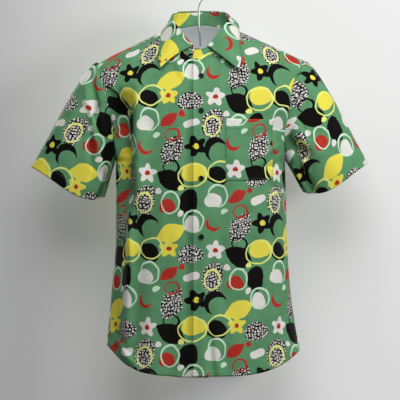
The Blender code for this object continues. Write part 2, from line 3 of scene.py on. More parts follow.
import bpy
import numpy as np
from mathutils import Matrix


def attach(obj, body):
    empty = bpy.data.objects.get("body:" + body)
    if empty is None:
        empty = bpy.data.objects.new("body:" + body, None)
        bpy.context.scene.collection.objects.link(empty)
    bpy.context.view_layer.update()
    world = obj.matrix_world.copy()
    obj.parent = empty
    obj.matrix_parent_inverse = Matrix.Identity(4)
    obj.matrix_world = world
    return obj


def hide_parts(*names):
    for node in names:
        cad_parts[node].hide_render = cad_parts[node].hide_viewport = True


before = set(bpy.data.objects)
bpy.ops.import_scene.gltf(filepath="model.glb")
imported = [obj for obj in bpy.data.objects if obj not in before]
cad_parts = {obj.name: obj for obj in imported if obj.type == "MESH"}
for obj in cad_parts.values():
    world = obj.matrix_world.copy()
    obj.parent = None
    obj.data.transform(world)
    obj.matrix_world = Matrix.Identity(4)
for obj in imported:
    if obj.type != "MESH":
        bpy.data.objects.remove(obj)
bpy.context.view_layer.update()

# ---------------------------------------------------------------- printed cloth
# Light cotton poplin, printed on the outside only, in six inks on a green ground, so that its reverse is
# pale. Every cut piece of the shirt is made of it. The print is a general tropical one: blossoms, leaves,
# ovals, rings and speckled patches. Each column of its repeat steps down by half the repeat's height.

REPEAT_WIDE, REPEAT_HIGH = 142.5, 325.0     # millimetres
DRAWN_LINE = 1.6        # half-width of a drawn ring, in millimetres
INK_EDGE = 1.6          # how much a motif's mask falls over a millimetre at its edge
HAND_SHIFT = 0.005      # the print wanders by up to half of this, in metres
SPECKLE_SCALE = 150.0
WEAVE_SCALE = 420.0
RELIEF = {"weave": 0.00004, "crumple": 0.0016, "dip": 0.0004, "pucker": 0.0009, "doubled": 0.00035}   # metres
REVERSE_SHARE = 0.86    # how much the pale reverse hides the print
REVERSE_PAINTED_GLOW = 0.12    # glow of the pale reverse: painted light in place of light that comes through the thin cloth


def ink(red, green, blue):
    """Linear colour from display values of 0 to 255."""
    display = np.array([red, green, blue]) / 255
    return (*np.where(display < 0.04045, display / 12.92, ((display + 0.055) / 1.055) ** 2.4), 1.0)


GROUND = ink(80, 130, 90), ink(101, 155, 112)
PALE_REVERSE = ink(226, 230, 233)
INKS = {
    "black": ink(8, 6, 5),
    "white": ink(222, 219, 213),
    "yellow": ink(228, 216, 78),
    "lime": ink(226, 234, 128),
    "mint": ink(196, 228, 200),
    "red": ink(176, 48, 38),
}


class Value:
    """One socket of a material's nodes. Arithmetic on it adds Math nodes."""

    def __init__(self, tree, socket=None):
        self.tree = tree
        self.socket = socket

    def node(self, kind, settings=None, inputs=None, out=0):
        """Adds a node, its settings first, then the values or links of its sockets, and gives one output."""
        made = self.tree.nodes.new(kind)
        for name, value in (settings or {}).items():
            setattr(made, name, value)
        for name, value in (inputs or {}).items():
            if isinstance(value, Value):
                self.tree.links.new(value.socket, made.inputs[name])
            else:
                made.inputs[name].default_value = value
        return Value(self.tree, made.outputs[out])

    def calc(self, operation, *others, clamp=False):
        """Math node that takes this value first."""
        settings = {"operation": operation, "use_clamp": clamp}
        return self.node("ShaderNodeMath", settings, dict(enumerate((self, *others))))

    def vector(self, operation, *others, out=0):
        """Vector Math node that takes this vector first."""
        settings = {"operation": operation}
        return self.node("ShaderNodeVectorMath", settings, dict(enumerate((self, *others))), out)

    def noise(self, scale, detail, flat=False, out=0, **others):
        """Noise at this place; flat: at its first two numbers alone."""
        return self.node("ShaderNodeTexNoise", {"noise_dimensions": "2D" if flat else "3D"},
                         {"Vector": self, "Scale": scale, "Detail": detail, **others}, out)

    def __add__(self, other):
        return self.calc("ADD", other)

    def __sub__(self, other):
        return self.calc("SUBTRACT", other)

    def __mul__(self, other):
        return self.calc("MULTIPLY", other)

    def __rsub__(self, other):
        return self.node("ShaderNodeMath", {"operation": "SUBTRACT"}, {0: other, 1: self})

    def over(self, under, colour):
        """Colour laid over another where this mask is 1."""
        return self.node("ShaderNodeMix", {"data_type": "RGBA"}, {0: self, 6: under, 7: colour}, out=2)

    def first_two(self):
        """The first two numbers of this vector."""
        split = self.node("ShaderNodeSeparateXYZ", None, {0: self}).socket.node
        return [Value(self.tree, split.outputs[axis]) for axis in (0, 1)]

    def joined(self, other):
        """Flat vector of this value and another."""
        return self.node("ShaderNodeCombineXYZ", None, {0: self, 1: other})

    def feed(self, shader, *sockets):
        """Links this value to sockets of a shader."""
        for name in sockets:
            self.tree.links.new(self.socket, shader.inputs[name])


# Motifs of one repeat, in the order they are printed. shape; ink, or speckle for the fine black and white;
# x, y: middle in millimetres; turn: degrees; long, wide: half-sizes in millimetres
MOTIFS = (
    ("oval", "speckle", 19, 87, 78, 34, 22),
    ("leaf", "speckle", 79, 193, 60, 38, 22),
    ("oval", "speckle", 116, 299, 10, 27, 19),
    ("oval", "black", 112, 84, 84, 27, 19),
    ("crescent", "black", 27, 32, -60, 27, 25),
    ("leaf", "yellow", 77, 19, 22, 34, 19),
    ("oval", "white", 120, 37, 100, 18, 14),
    ("oval", "red", 68, 76, 10, 18, 15),
    ("blossom", "white", 26, 145, 12, 21, 21),
    ("oval", "red", 26, 145, 0, 5.5, 5.5),
    ("leaf", "black", 77, 130, 150, 35, 21),
    ("oval", "yellow", 123, 148, 12, 24, 20),
    ("crescent", "red", 22, 200, 40, 16, 16),
    ("blossom", "black", 128, 202, 40, 23, 23),
    ("oval", "yellow", 128, 202, 0, 6, 6),
    ("oval", "white", 21, 251, 8, 19, 15),
    ("leaf", "red", 72, 258, 35, 23, 12),
    ("capsule", "white", 119, 251, 20, 17, 8),
    ("oval", "black", 29, 303, -20, 24, 19),
    ("blossom", "yellow", 72, 311, 20, 21, 21),
    ("oval", "red", 72, 311, 0, 5, 5),
    ("ring", "mint", 75, 83, 80, 23, 19),
    ("ring", "lime", 121, 140, 15, 29, 24),
    ("ring", "mint", 31, 260, 95, 23, 20),
    ("ring", "lime", 35, 311, 20, 25, 21),
    ("ring", "mint", 123, 43, 75, 22, 20),
    ("ring", "red", 79, 227, 10, 15, 12),
    ("ring", "lime", 19, 82, 80, 21, 16),
    ("ring", "black", 77, 158, -10, 17, 13),
    ("oval", "white", 50, 108, 0, 7, 6),
    ("oval", "lime", 98, 114, 0, 6.5, 5.5),
    ("oval", "mint", 45, 227, 30, 8, 5.5),
    ("oval", "red", 100, 272, 0, 6.5, 6.5),
    ("oval", "white", 97, 60, 40, 8, 5.5),
)


def motif_mask(lattice, shape, x, y, turn, long, wide):
    """1 inside the nearest copy of a motif. The place is wrapped into one cell of the slanted lattice, then
    taken to the motif's own axes, where its edge is at 1, by two dot products."""
    s, t = x / REPEAT_WIDE, y / REPEAT_HIGH - x / REPEAT_WIDE / 2
    near = lattice.vector("WRAP", (s + 0.5, t + 0.5, 1.0), (s - 0.5, t - 0.5, -1.0))
    near = near.vector("SUBTRACT", (s, t, 0.0))
    cosine, sine = math.cos(math.radians(turn)), math.sin(math.radians(turn))

    def along(right, up, size):
        by_s = (right * REPEAT_WIDE + up * REPEAT_HIGH / 2) / size
        return near.vector("DOT_PRODUCT", (by_s, up * REPEAT_HIGH / size, 0.0), out=1)

    def length(p, q):
        return p.joined(q).vector("LENGTH", out=1)

    a, b = along(cosine, sine, long), along(-sine, cosine, wide)
    size = min(long, wide)
    if shape == "leaf":
        edge = (b.calc("ABSOLUTE") + a * a - 1) * (0.7 * wide)
    elif shape == "crescent":
        bite = length((a - 0.42) * 1.12, (b - 0.1) * 1.12)
        edge = (length(a, b) - 1).calc("MAXIMUM", 1 - bite) * size
    elif shape == "blossom":
        petal = (b.calc("ARCTAN2", a) * 5).calc("COSINE")
        edge = (length(a, b) - petal * 0.2 - 0.8) * size
    elif shape == "capsule":
        straight = long / wide - 1
        past = (a.calc("ABSOLUTE") * (long / wide) - straight).calc("MAXIMUM", 0.0)
        edge = (length(past, b) - 1) * size
    elif shape == "ring":
        edge = ((length(a, b) - 1) * size).calc("ABSOLUTE") - DRAWN_LINE - a * 0.45
    else:
        edge = (length(a, b + a * a * 0.22) - 1) * size
    return edge.calc("MULTIPLY_ADD", -INK_EDGE, 0.5, clamp=True)


def printed(uv):
    """Colour of the print at the cloth's own coordinates, which are metres along and across its grain. A weak
    noise shifts the place, so that the motifs look drawn by hand."""
    hand = uv.noise(42.0, 1.0, flat=True, out=1)
    hand = hand.vector("MULTIPLY_ADD", (HAND_SHIFT, HAND_SHIFT, 0.0), (-HAND_SHIFT / 2, -HAND_SHIFT / 2, 0.0))
    place = uv.vector("ADD", hand)
    across, up = place.first_two()
    across = across * (1000 / REPEAT_WIDE)
    lattice = across.joined(up * (1000 / REPEAT_HIGH) - across * 0.5)
    grains = uv.node("ShaderNodeTexVoronoi", {"voronoi_dimensions": "2D", "distance": "CHEBYCHEV"},
                     {"Vector": place, "Scale": SPECKLE_SCALE, "Randomness": 0.8})
    grains = (grains * 11.0).calc("SINE").calc("MULTIPLY_ADD", 5.0, -0.6, clamp=True)
    speckle = grains.over(INKS["black"], INKS["white"])
    colour = uv.noise(30.0, 4.0, flat=True).over(*GROUND)
    for shape, shade, *size in MOTIFS:
        laid = speckle if shade == "speckle" else INKS[shade]
        colour = motif_mask(lattice, shape, *size).over(colour, laid)
    return colour


def woven_bump(uv):
    """Normal of the cloth: fine plain weave, small crumples and the dips along its sewn lines."""
    warp, weft = [uv.node("ShaderNodeTexWave", {"bands_direction": way}, {"Vector": uv, "Scale": WEAVE_SCALE})
                  for way in ("X", "Y")]
    crumple = uv.noise(26.0, 3.0, flat=True, Roughness=0.45)
    pucker = uv.noise(150.0, 1.0, flat=True)
    sewn = uv.node("ShaderNodeAttribute", {"attribute_name": "sewn"}, out=2)
    apart = sewn.calc("ABSOLUTE")
    dip = 1 - apart.calc("MULTIPLY", 700.0, clamp=True)
    near = 1 - apart.calc("MULTIPLY", 110.0, clamp=True)
    doubled = sewn.calc("MULTIPLY", -900.0, clamp=True)
    height = (warp + weft) * RELIEF["weave"] + crumple * RELIEF["crumple"] - dip * RELIEF["dip"]
    height = height + pucker * near * RELIEF["pucker"] + doubled * RELIEF["doubled"]
    return height.node("ShaderNodeBump", None, {"Height": height, "Strength": 0.85, "Distance": 1.0})


def new_look(name, constants):
    """New material and its one shader, with the shader's constants set."""
    look = bpy.data.materials.new(name)
    look.use_nodes = True
    shader = look.node_tree.nodes["Principled BSDF"]
    for socket, value in constants.items():
        shader.inputs[socket].default_value = value
    return look, shader


def cloth_look(name, reverse):
    """Poplin seen from its printed side or from its pale reverse, which glows faintly: painted light."""
    look, shader = new_look(name, {"Roughness": 0.78, "Specular IOR Level": 0.10, "Sheen Weight": 0.02,
                                   "Sheen Roughness": 0.4})
    uv = Value(look.node_tree).node("ShaderNodeUVMap", {"uv_map": "grain"})
    colour = printed(uv)
    if reverse:
        colour = colour.node("ShaderNodeMix", {"data_type": "RGBA"},
                             {0: REVERSE_SHARE, 6: colour, 7: PALE_REVERSE}, out=2)
        # The reverse glows faintly by emission: painted light in place of light that comes through the thin
        # cloth.
        colour.feed(shader, "Emission Color")
        shader.inputs["Emission Strength"].default_value = REVERSE_PAINTED_GLOW
    colour.feed(shader, "Base Color")
    woven_bump(uv).feed(shader, "Normal")
    return look


printed_side = cloth_look("printed_poplin", False)
pale_side = cloth_look("poplin_reverse", True)


# ---------------------------------------------------------------- fronts and back
# Three cut pieces of the printed poplin, sewn at the shoulders and sides, with a curved hem turned up twice.
# The wearer's left front laps over the right. They hang from the shoulders and stand off as round a body,
# with the creases of a shirt that has been worn and hung.

CLOTH = 0.0009          # wall of the shown cloth
DOUBLED = 0.0014        # wall where two layers are shown as one, printed on both sides
WALL = 0.0015           # wall of the solid that the cloth lies on
LAP = 0.017             # each front runs this far past the centre line
UNDERLAP = WALL + 0.0006    # the under front lies this far behind
UNDER_DROP = 0.0020     # and its end hangs this much lower at the hem
HEM_ROWS = 24           # rows over which that fades out upwards
LAP_STAND = 0.0026      # the upper front's edge stands off this far
EDGE_ROWS = 30          # rows over which the edge's stand-off fades out towards the neck
RIDGE_TOP = -0.0698     # height where the two shoulder lines cross
RIDGE_FALL = {-1: 0.483, 1: 0.465}  # their slopes, the wearer's right first
RIDGE_ROUND = 0.020     # half-width of their rounding
SHOULDER = 0.2177       # the shoulders' ends, and the outermost column of each piece
ARMPIT = -0.3834        # height of the armpits
FLAT_RISE = 0.240       # part of the rise to the shoulder that goes evenly; the rest goes with the cube
DEPTH = {-1: 0.108, 1: 0.104}       # front and back
BODY_HALF = 0.18        # half-width that spaces the columns
ROUNDNESS = 2.4         # power of the rounded section
FLAT_END = 0.693        # how flat the section's ends get at the shoulder
ARMHOLE_DEPTH = 0.052   # half-depth of the armhole
ARMHOLE_REACH = 14      # power that keeps the armhole's own depth to its seam
HEM_SIDE = {-1: 0.3932, 1: 0.4041}  # drop from the armpit to the hem at each side
HEM_CENTRE = 0.4580     # and at the centre
HEM_CURVE = 4.0         # the hem stays low nearer to the sides than on the solids
HEM_TURN = 0.006        # width of the rolled hem
NECK_HALF = 0.070       # half-width of the neck seam
NECK_FRONT = 40.5       # degrees over the ridge to the neck seam in front
NECK_BACK = 16.0        # and behind, where the stand is a little lower inside than on the solid
PRINT_AT = {-1: (-0.004, 0.011), 1: (0.047, -0.062)}    # place in the print of the fronts and of the back
CUT = {-1: (0.245, 0.93), 1: (0.455, 0.96)}     # width of the flat cloth, and how much of it the piece fills
YOKE_OVER = 60          # degrees over the ridge where the yoke's rows start
LOW_ROWS, CHEST_ROWS, YOKE_ROWS = 123, 32, 50
NECK_COLUMNS, ROUND_COLUMNS = 35, 46
FOLD_LEAN = 0.35        # how far the folds lean outwards at the sides
FOLD_FADE = 0.36        # share of a fold's length in which each end fades
TO_HEM = -0.8           # folds that end below this height run on to the hem
# Half-width of each side by its drop below the armpit, how the depth shrinks by that drop, and half-width of
# each armhole's seam by its lift, from 0 at the armpit to 1 at the shoulder
SIDES = {
    "drop": (0.000, 0.085, 0.170, 0.270, 0.333, 0.404),
    -1: (0.1802, 0.1802, 0.1802, 0.1885, 0.1936, 0.2010),
    1: (0.1796, 0.1819, 0.1840, 0.1906, 0.1987, 0.2111),
}
FALL = {"drop": (0.00, 0.12, 0.25, 0.46), "share": (1.00, 0.985, 0.94, 0.90)}
ARMHOLES = {
    "lift": (0.00, 0.20, 0.45, 0.65, 0.85, 1.00),
    -1: (0.1802, 0.1840, 0.1935, 0.2040, 0.2165, 0.2177),
    1: (0.1796, 0.1780, 0.1880, 0.1940, 0.2090, 0.2177),
}
# Soft folds, as on the solids. face: -1 front, 1 back; from (x0, z0) to (x1, z1); half-width; height
FOLDS = (
    (-1, -0.150, -0.350, -0.150, -0.455, 0.017, -0.0090),
    (-1, -0.128, -0.345, -0.128, -0.450, 0.012, 0.0050),
    (-1, -0.156, -0.480, -0.152, -0.580, 0.013, 0.0045),
    (-1, -0.136, -0.500, -0.134, -0.620, 0.014, -0.0035),
    (-1, -0.100, -0.600, -0.112, -0.830, 0.022, 0.0045),
    (-1, -0.060, -0.640, -0.064, -0.840, 0.020, -0.0040),
    (-1, 0.040, -0.690, 0.032, -0.845, 0.018, 0.0045),
    (-1, 0.120, -0.560, 0.112, -0.835, 0.024, -0.0045),
    (-1, 0.152, -0.400, 0.150, -0.760, 0.016, 0.0040),
    (-1, 0.172, -0.330, 0.120, -0.400, 0.014, 0.0035),
    (-1, -0.165, -0.240, -0.100, -0.330, 0.016, -0.0030),
    (1, -0.080, -0.270, -0.064, -0.820, 0.026, 0.0070),
    (1, -0.030, -0.300, -0.022, -0.830, 0.024, -0.0050),
    (1, 0.070, -0.250, 0.088, -0.825, 0.024, 0.0065),
    (1, 0.132, -0.340, 0.124, -0.780, 0.018, -0.0050),
    (1, -0.136, -0.330, -0.132, -0.720, 0.018, -0.0055),
    (1, 0.020, -0.520, 0.030, -0.840, 0.020, 0.0040),
)
# Deeper folds, and sharper creases. The last two: how far the line bows sideways, and how much steeper its
# far side is
CREASES = (
    (-1, -0.131, -0.240, -0.133, -0.470, 0.0150, 0.0190, 0.002, -0.3),
    (-1, -0.178, -0.260, -0.180, -0.480, 0.0260, -0.0560, 0.002, 0.0),
    (-1, -0.139, -0.480, -0.158, -0.800, 0.0120, 0.0100, 0.004, -0.2),
    (-1, -0.182, -0.490, -0.192, -0.800, 0.0200, -0.0280, 0.004, 0.0),
    (-1, -0.032, -0.260, -0.030, -0.845, 0.0110, -0.0032, 0.001, 0.0),
    (-1, 0.003, -0.260, 0.003, -0.845, 0.0150, 0.0022, 0.002, 0.0),
    (-1, 0.048, -0.300, 0.050, -0.820, 0.0140, -0.0026, 0.004, 0.0),
    (-1, -0.166, -0.330, -0.168, -0.450, 0.0070, 0.0051, 0.005, 0.3),
    (-1, -0.171, -0.372, -0.128, -0.352, 0.0060, -0.0035, 0.004, 0.0),
    (-1, -0.174, -0.400, -0.136, -0.392, 0.0055, 0.0032, -0.003, 0.3),
    (-1, -0.154, -0.470, -0.156, -0.590, 0.0070, -0.0054, 0.004, 0.3),
    (-1, -0.140, -0.470, -0.146, -0.600, 0.0060, 0.0045, 0.004, 0.3),
    (-1, -0.176, -0.500, -0.150, -0.470, 0.0055, 0.0029, 0.002, 0.0),
    (-1, -0.205, -0.180, -0.172, -0.255, 0.0055, 0.0048, 0.004, 0.3),
    (-1, -0.228, -0.200, -0.196, -0.262, 0.0055, 0.0048, 0.003, 0.3),
    (-1, -0.205, -0.250, -0.160, -0.300, 0.0055, 0.0042, 0.004, 0.3),
    (-1, -0.197, -0.285, -0.150, -0.330, 0.0060, -0.0042, 0.003, 0.0),
    (-1, -0.062, -0.150, -0.030, -0.215, 0.0060, 0.0030, 0.003, 0.2),
    (-1, 0.135, -0.372, 0.172, -0.352, 0.0055, 0.0042, -0.003, 0.3),
    (-1, 0.128, -0.398, 0.174, -0.388, 0.0060, -0.0040, 0.003, 0.0),
    (-1, 0.140, -0.420, 0.176, -0.436, 0.0055, 0.0035, 0.002, 0.3),
    (-1, 0.052, -0.170, 0.040, -0.250, 0.0070, 0.0027, 0.003, 0.2),
    (-1, -0.176, -0.760, -0.140, -0.812, 0.0075, 0.0061, 0.005, 0.4),
    (-1, -0.190, -0.735, -0.160, -0.770, 0.0060, -0.0046, 0.004, 0.0),
    (-1, 0.022, -0.745, 0.030, -0.842, 0.0075, -0.0051, 0.004, 0.2),
    (-1, -0.030, -0.760, -0.024, -0.842, 0.0080, 0.0029, -0.003, 0.2),
    (-1, 0.168, -0.700, 0.150, -0.790, 0.0080, 0.0032, 0.004, 0.3),
    (-1, 0.080, -0.560, 0.088, -0.700, 0.0090, 0.0020, -0.005, 0.2),
    (-1, -0.070, -0.420, -0.078, -0.560, 0.0100, 0.0019, 0.006, 0.2),
    (1, -0.172, -0.352, -0.100, -0.300, 0.0065, 0.0051, 0.006, 0.3),
    (1, 0.172, -0.356, 0.096, -0.310, 0.0065, 0.0051, -0.006, 0.3),
    (1, -0.176, -0.392, -0.110, -0.380, 0.0060, -0.0042, 0.004, 0.0),
    (1, 0.176, -0.396, 0.118, -0.378, 0.0060, -0.0042, 0.004, 0.0),
    (1, -0.050, -0.380, -0.044, -0.640, 0.0085, 0.0032, 0.007, 0.3),
    (1, 0.104, -0.400, 0.108, -0.690, 0.0085, 0.0032, -0.006, 0.3),
    (1, 0.000, -0.560, 0.006, -0.842, 0.0090, -0.0035, 0.005, 0.2),
    (1, -0.108, -0.560, -0.100, -0.836, 0.0080, 0.0035, 0.005, 0.3),
    (1, 0.060, -0.640, 0.056, -0.840, 0.0080, -0.0029, 0.004, 0.2),
    (1, 0.156, -0.600, 0.150, -0.800, 0.0075, 0.0051, 0.003, 0.3),
)


def through(stations, values, at):
    """Smooth curve through a table's rows: cubic pieces that never overshoot a row."""
    x, y = np.asarray(stations, float), np.asarray(values, float)
    step = np.diff(x)
    chord = np.diff(y) / step
    product = chord[:-1] * chord[1:]
    total = np.where(product > 0, chord[:-1] + chord[1:], 1.0)
    slope = np.concatenate([chord[:1], np.where(product > 0, 2 * product / total, 0.0), chord[-1:]])
    at = np.clip(np.asarray(at, float), x[0], x[-1])
    k = np.clip(np.searchsorted(x, at) - 1, 0, len(x) - 2)
    u = (at - x[k]) / step[k]
    start = y[k] * (1 + 2 * u) * (1 - u) ** 2 + slope[k] * step[k] * u * (1 - u) ** 2
    return start + y[k + 1] * u * u * (3 - 2 * u) + slope[k + 1] * step[k] * u * u * (u - 1)


def ease(value):
    """0 up to 0, 1 from 1 on, and a smooth S between."""
    u = np.clip(value, 0.0, 1.0)
    return u * u * (3 - 2 * u)


def unit(vectors):
    """The same directions, one long."""
    return vectors / np.maximum(np.linalg.norm(vectors, axis=-1, keepdims=True), 1e-12)


def by_side(across, table):
    """The table's value for the side of the body that each column is on."""
    return np.where(across < 0, table[-1], table[1])


def edge_table(table, stations, at, across):
    """Half-width from a table that has a column for each side of the body."""
    right, left = [through(table[stations], table[side], at) for side in (-1, 1)]
    return np.where(across < 0, right, left)


def section(share, base=0.0):
    """Rounded section of the body: 1 at the middle, 0 where share is 1; a base over 0 leaves flatter ends."""
    def arc(part):
        return (1 - np.clip(np.abs(part), 0, 1) ** ROUNDNESS) ** (1 / ROUNDNESS)
    return (arc(share * arc(base)) - base) / (1 - base)


def sideways(across, half_width):
    """Column's x: its own place near the front edges, and a share of the body's width further out."""
    share = across / SHOULDER
    return across + (share * half_width - across) * ease(np.abs(share) / 0.35)


def ridge(x):
    """Height of the shoulder line: two straight falls, rounded where they cross."""
    return RIDGE_TOP - by_side(x, RIDGE_FALL) * np.sqrt(x * x + RIDGE_ROUND ** 2)


def upper_form(across, over, face):
    """From the armpit's height (over 90 degrees) to the shoulder (over 0): each column is an arch, whose
    height follows the cosine and whose depth follows the sine of over, times the rounded section."""
    angle = np.radians(over)
    lift = np.cos(angle)
    x = sideways(across, edge_table(ARMHOLES, "lift", lift, across))
    z = ARMPIT + FLAT_RISE * lift + (ridge(x) - ARMPIT - FLAT_RISE) * lift ** 3
    seam = np.sqrt(np.maximum(4 * lift * (1 - lift), 0))
    near = np.abs(across / SHOULDER) ** ARMHOLE_REACH
    armhole = ARMHOLE_DEPTH * np.where(lift < 0.5, seam * near + ease(lift / 0.5) * (1 - near), seam)
    base = FLAT_END * ease(lift / 0.5)
    y = armhole + (DEPTH[face] * np.sin(angle) - armhole) * section(across / SHOULDER, base)
    return np.stack([x, face * y, z], axis=-1)


def lower_form(across, down, face):
    """From the armpit's height (down 0) to the hem (down 1): closed rounded sections whose drop follows the
    curved hem."""
    share = across / SHOULDER
    side = by_side(across, HEM_SIDE)
    drop = down * (side + (HEM_CENTRE - side) * (1 - np.abs(share) ** HEM_CURVE))
    x = sideways(across, edge_table(SIDES, "drop", down * side, across))
    depth = DEPTH[face] * through(FALL["drop"], FALL["share"], drop)
    return np.stack([x, face * depth * section(share), ARMPIT - drop], axis=-1)


def fold_height(points, across, over, face):
    """Sum of the folds: each a bell across its line, bowed and steeper on one side if it is a crease, with
    eased ends. It fades out at the side seams and the shoulder, and slight ripples are added."""
    x, z = points[..., 0], points[..., 2]
    height = np.zeros_like(x)
    half_fade = FOLD_FADE / 2
    for side, x0, z0, x1, z1, half, peak, bow, steep in [fold + (0, 0) for fold in FOLDS] + list(CREASES):
        if side == face:
            run = np.array([x1 - x0, z1 - z0])
            along = ((x - x0) * run[0] + (z - z0) * run[1]) / (run @ run)
            off = ((x - x0) * run[1] - (z - z0) * run[0]) / np.linalg.norm(run)
            off = off - bow * 4 * np.clip(along, 0, 1) * (1 - np.clip(along, 0, 1))
            spread = half * (1 + steep * np.tanh(off / half))
            ends = ease((along + half_fade) / FOLD_FADE)
            if z1 >= TO_HEM:
                ends = ends * ease((1 + half_fade - along) / FOLD_FADE)
            height += peak * np.exp(-(off / spread) ** 2) * ends
    height += 0.0005 * np.sin(72 * x + 9 * np.sin(11 * z + face)) * np.sin(23 * z + 2 + 40 * x)
    height += 0.0012 * np.sin(61 * x + face + 5 * z) * ease((-0.70 - z) / 0.14)
    return height * (1 - np.abs(across / SHOULDER) ** 10) * ease(over / 40.0)


def body_points(across, over, down, face):
    """Form with its folds; over counts above the armpit's height and down below it, where over is 90."""
    above, below = upper_form(across, over, face), lower_form(across, down, face)
    form = np.where((down > 0)[..., None], below, above)
    height = fold_height(form, across, over, face)[..., None]
    lean = FOLD_LEAN * across / SHOULDER
    return form + unit(np.stack([lean, np.full_like(lean, face), 0 * lean], axis=-1)) * height


def neck_over(turn):
    """Degrees from the ridge to the neck seam, by degrees round the neck from the back; back positive."""
    lean = np.cos(np.radians(turn))
    return lean * np.where(lean > 0, NECK_BACK, NECK_FRONT)


def under_lap(across):
    """How far the under front lies behind the upper one: eased in towards the centre line."""
    return UNDERLAP * ease((across + 0.050) / 0.030)


def run_length(points, axis=0):
    """Distance from the first point along a line, or along the columns (0) or rows (1) of a grid."""
    step = np.linalg.norm(np.diff(points, axis=axis), axis=-1)
    return np.concatenate([np.zeros_like(step.take([0], axis)), np.cumsum(step, axis=axis)], axis=axis)


def side_columns(first):
    """Columns outwards from the centre: even turns of the neck seam from first, then even steps round the
    body."""
    neck = NECK_HALF * np.sin(np.radians(np.linspace(first, 90, NECK_COLUMNS)))
    share = np.linspace(NECK_HALF / SHOULDER, 1, 4001)
    length = run_length(np.stack([BODY_HALF * share, DEPTH[1] * section(share)], axis=-1))
    even = np.linspace(0, length[-1], ROUND_COLUMNS + 1)[1:]
    return np.concatenate([neck, SHOULDER * np.interp(even, length, share)])


def body_grid(across, face):
    """Grid of a cut piece: rows up from the hem, then over the chest to the neck or shoulder seam."""
    lean = np.sqrt(np.maximum(1 - (across / NECK_HALF) ** 2, 0))
    top = lean * (NECK_FRONT if face < 0 else NECK_BACK)
    low = np.linspace(1, 0, LOW_ROWS + 1)[:-1, None]
    chest = np.linspace(90, YOKE_OVER, CHEST_ROWS + 1)[:-1, None]
    yoke = YOKE_OVER + (top - YOKE_OVER) * np.linspace(0, 1, YOKE_ROWS)[:, None]
    width = np.ones((1, len(across)))
    down = np.concatenate([low * width, 0 * chest * width, 0 * yoke])
    over = np.concatenate([90 + 0 * low * width, chest * width, yoke])
    return body_points(across * np.ones_like(over), over, down, face)


def grain(grid, centre):
    """Where each point was in the flat cloth, in metres: across the body from the centre column, and up each
    column from the armpit's height, both measured along the surface."""
    u, v = run_length(grid[..., :2], 1), run_length(grid[..., 1:])
    return np.stack([u - u[:, centre:centre + 1], v - v[LOW_ROWS:LOW_ROWS + 1]], axis=-1)


def quads(index):
    """Faces between the neighbouring rows and columns of a grid of point numbers."""
    corners = [index[:-1, :-1], index[:-1, 1:], index[1:, 1:], index[1:, :-1]]
    return np.stack(corners, axis=-1).reshape(-1, 4)


def placed(name, mesh):
    """Object of a mesh, with soft shading, on the one body."""
    mesh.shade_smooth()
    piece = bpy.data.objects.new(name, mesh)
    bpy.context.scene.collection.objects.link(piece)
    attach(piece, "root")
    return piece


def cloth_piece(name, grid, uv, sewn, outward, ring=False, doubled=False):
    """Sheet of quads through a grid, given its wall by Solidify. uv: place in the flat cloth; sewn: distance
    to the nearest stitched line; outward: a direction out of the cloth for each point; ring: the last column
    closes on the first; doubled: two layers with their printed sides out."""
    rows, cols = grid.shape[:2]
    corners = quads(np.arange(rows * cols).reshape(rows, cols))
    faces = np.where(corners % cols == cols - 1, corners - cols + 1, corners) if ring else corners
    flat, places = grid.reshape(-1, 3), uv.reshape(-1, 2)[corners]
    diagonals = np.cross(flat[faces[:, 2]] - flat[faces[:, 0]], flat[faces[:, 3]] - flat[faces[:, 1]])
    facing = np.broadcast_to(outward, grid.shape).reshape(-1, 3)[faces[:, 0]]
    if np.einsum("ij,ij->", diagonals, facing) < 0:
        faces, places = faces[:, ::-1], places[:, ::-1]
    mesh = bpy.data.meshes.new(name)
    mesh.from_pydata(flat.tolist(), [], faces.tolist())
    layer = mesh.uv_layers.new(name="grain")
    layer.data.foreach_set("uv", places.reshape(-1).astype(np.float32))
    line = mesh.attributes.new("sewn", "FLOAT", "POINT")
    line.data.foreach_set("value", sewn.reshape(-1).astype(np.float32))
    mesh.materials.append(printed_side)
    mesh.materials.append(pale_side)
    piece = placed(name, mesh)
    wall = piece.modifiers.new("wall", "SOLIDIFY")
    wall.thickness = DOUBLED if doubled else CLOTH
    wall.offset = -1.0
    wall.material_offset = 0 if doubled else 1
    return piece


front_edge = -math.degrees(math.asin(LAP / NECK_HALF))
right_columns, left_columns = -side_columns(front_edge)[::-1], side_columns(front_edge)
back_columns = np.concatenate([-side_columns(0)[:0:-1], side_columns(0)])
body = {
    name: (body_grid(columns, face), np.abs(columns).argmin(), face)
    for name, columns, face in (
        ("front_right", right_columns, -1), ("front_left", left_columns, -1), ("back", back_columns, 1),
    )
}
under_front, upper_front = body["front_right"][0], body["front_left"][0]
near_hem = 1 - np.arange(len(under_front))[:, None] / HEM_ROWS
under_front[..., 1] += under_lap(right_columns)
under_front[..., 2] -= UNDER_DROP * ease((right_columns + 0.075) / 0.040) * ease(near_hem)
below_neck = np.arange(len(upper_front))[::-1, None] / EDGE_ROWS
upper_front[..., 1] -= LAP_STAND * (1 - ease((left_columns + LAP) / 0.011)) * ease(below_neck)

for name, (grid, centre, face) in body.items():
    uv = grain(grid, centre)
    from_hem = uv[..., 1] - uv[:1, :, 1]
    place = uv * (-face, 1.0) + PRINT_AT[face]
    shirt_piece = cloth_piece(name + "_cloth", grid, place, from_hem - HEM_TURN, [0.0, face, 0.0])
    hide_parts(name)
    width, share = CUT[face]


# ---------------------------------------------------------------- sleeves
# Two short set-in sleeves of the same cloth, each a tube with one seam under the arm. They are cut with the
# print along the arm, and end in a stitched hem 2 cm deep.

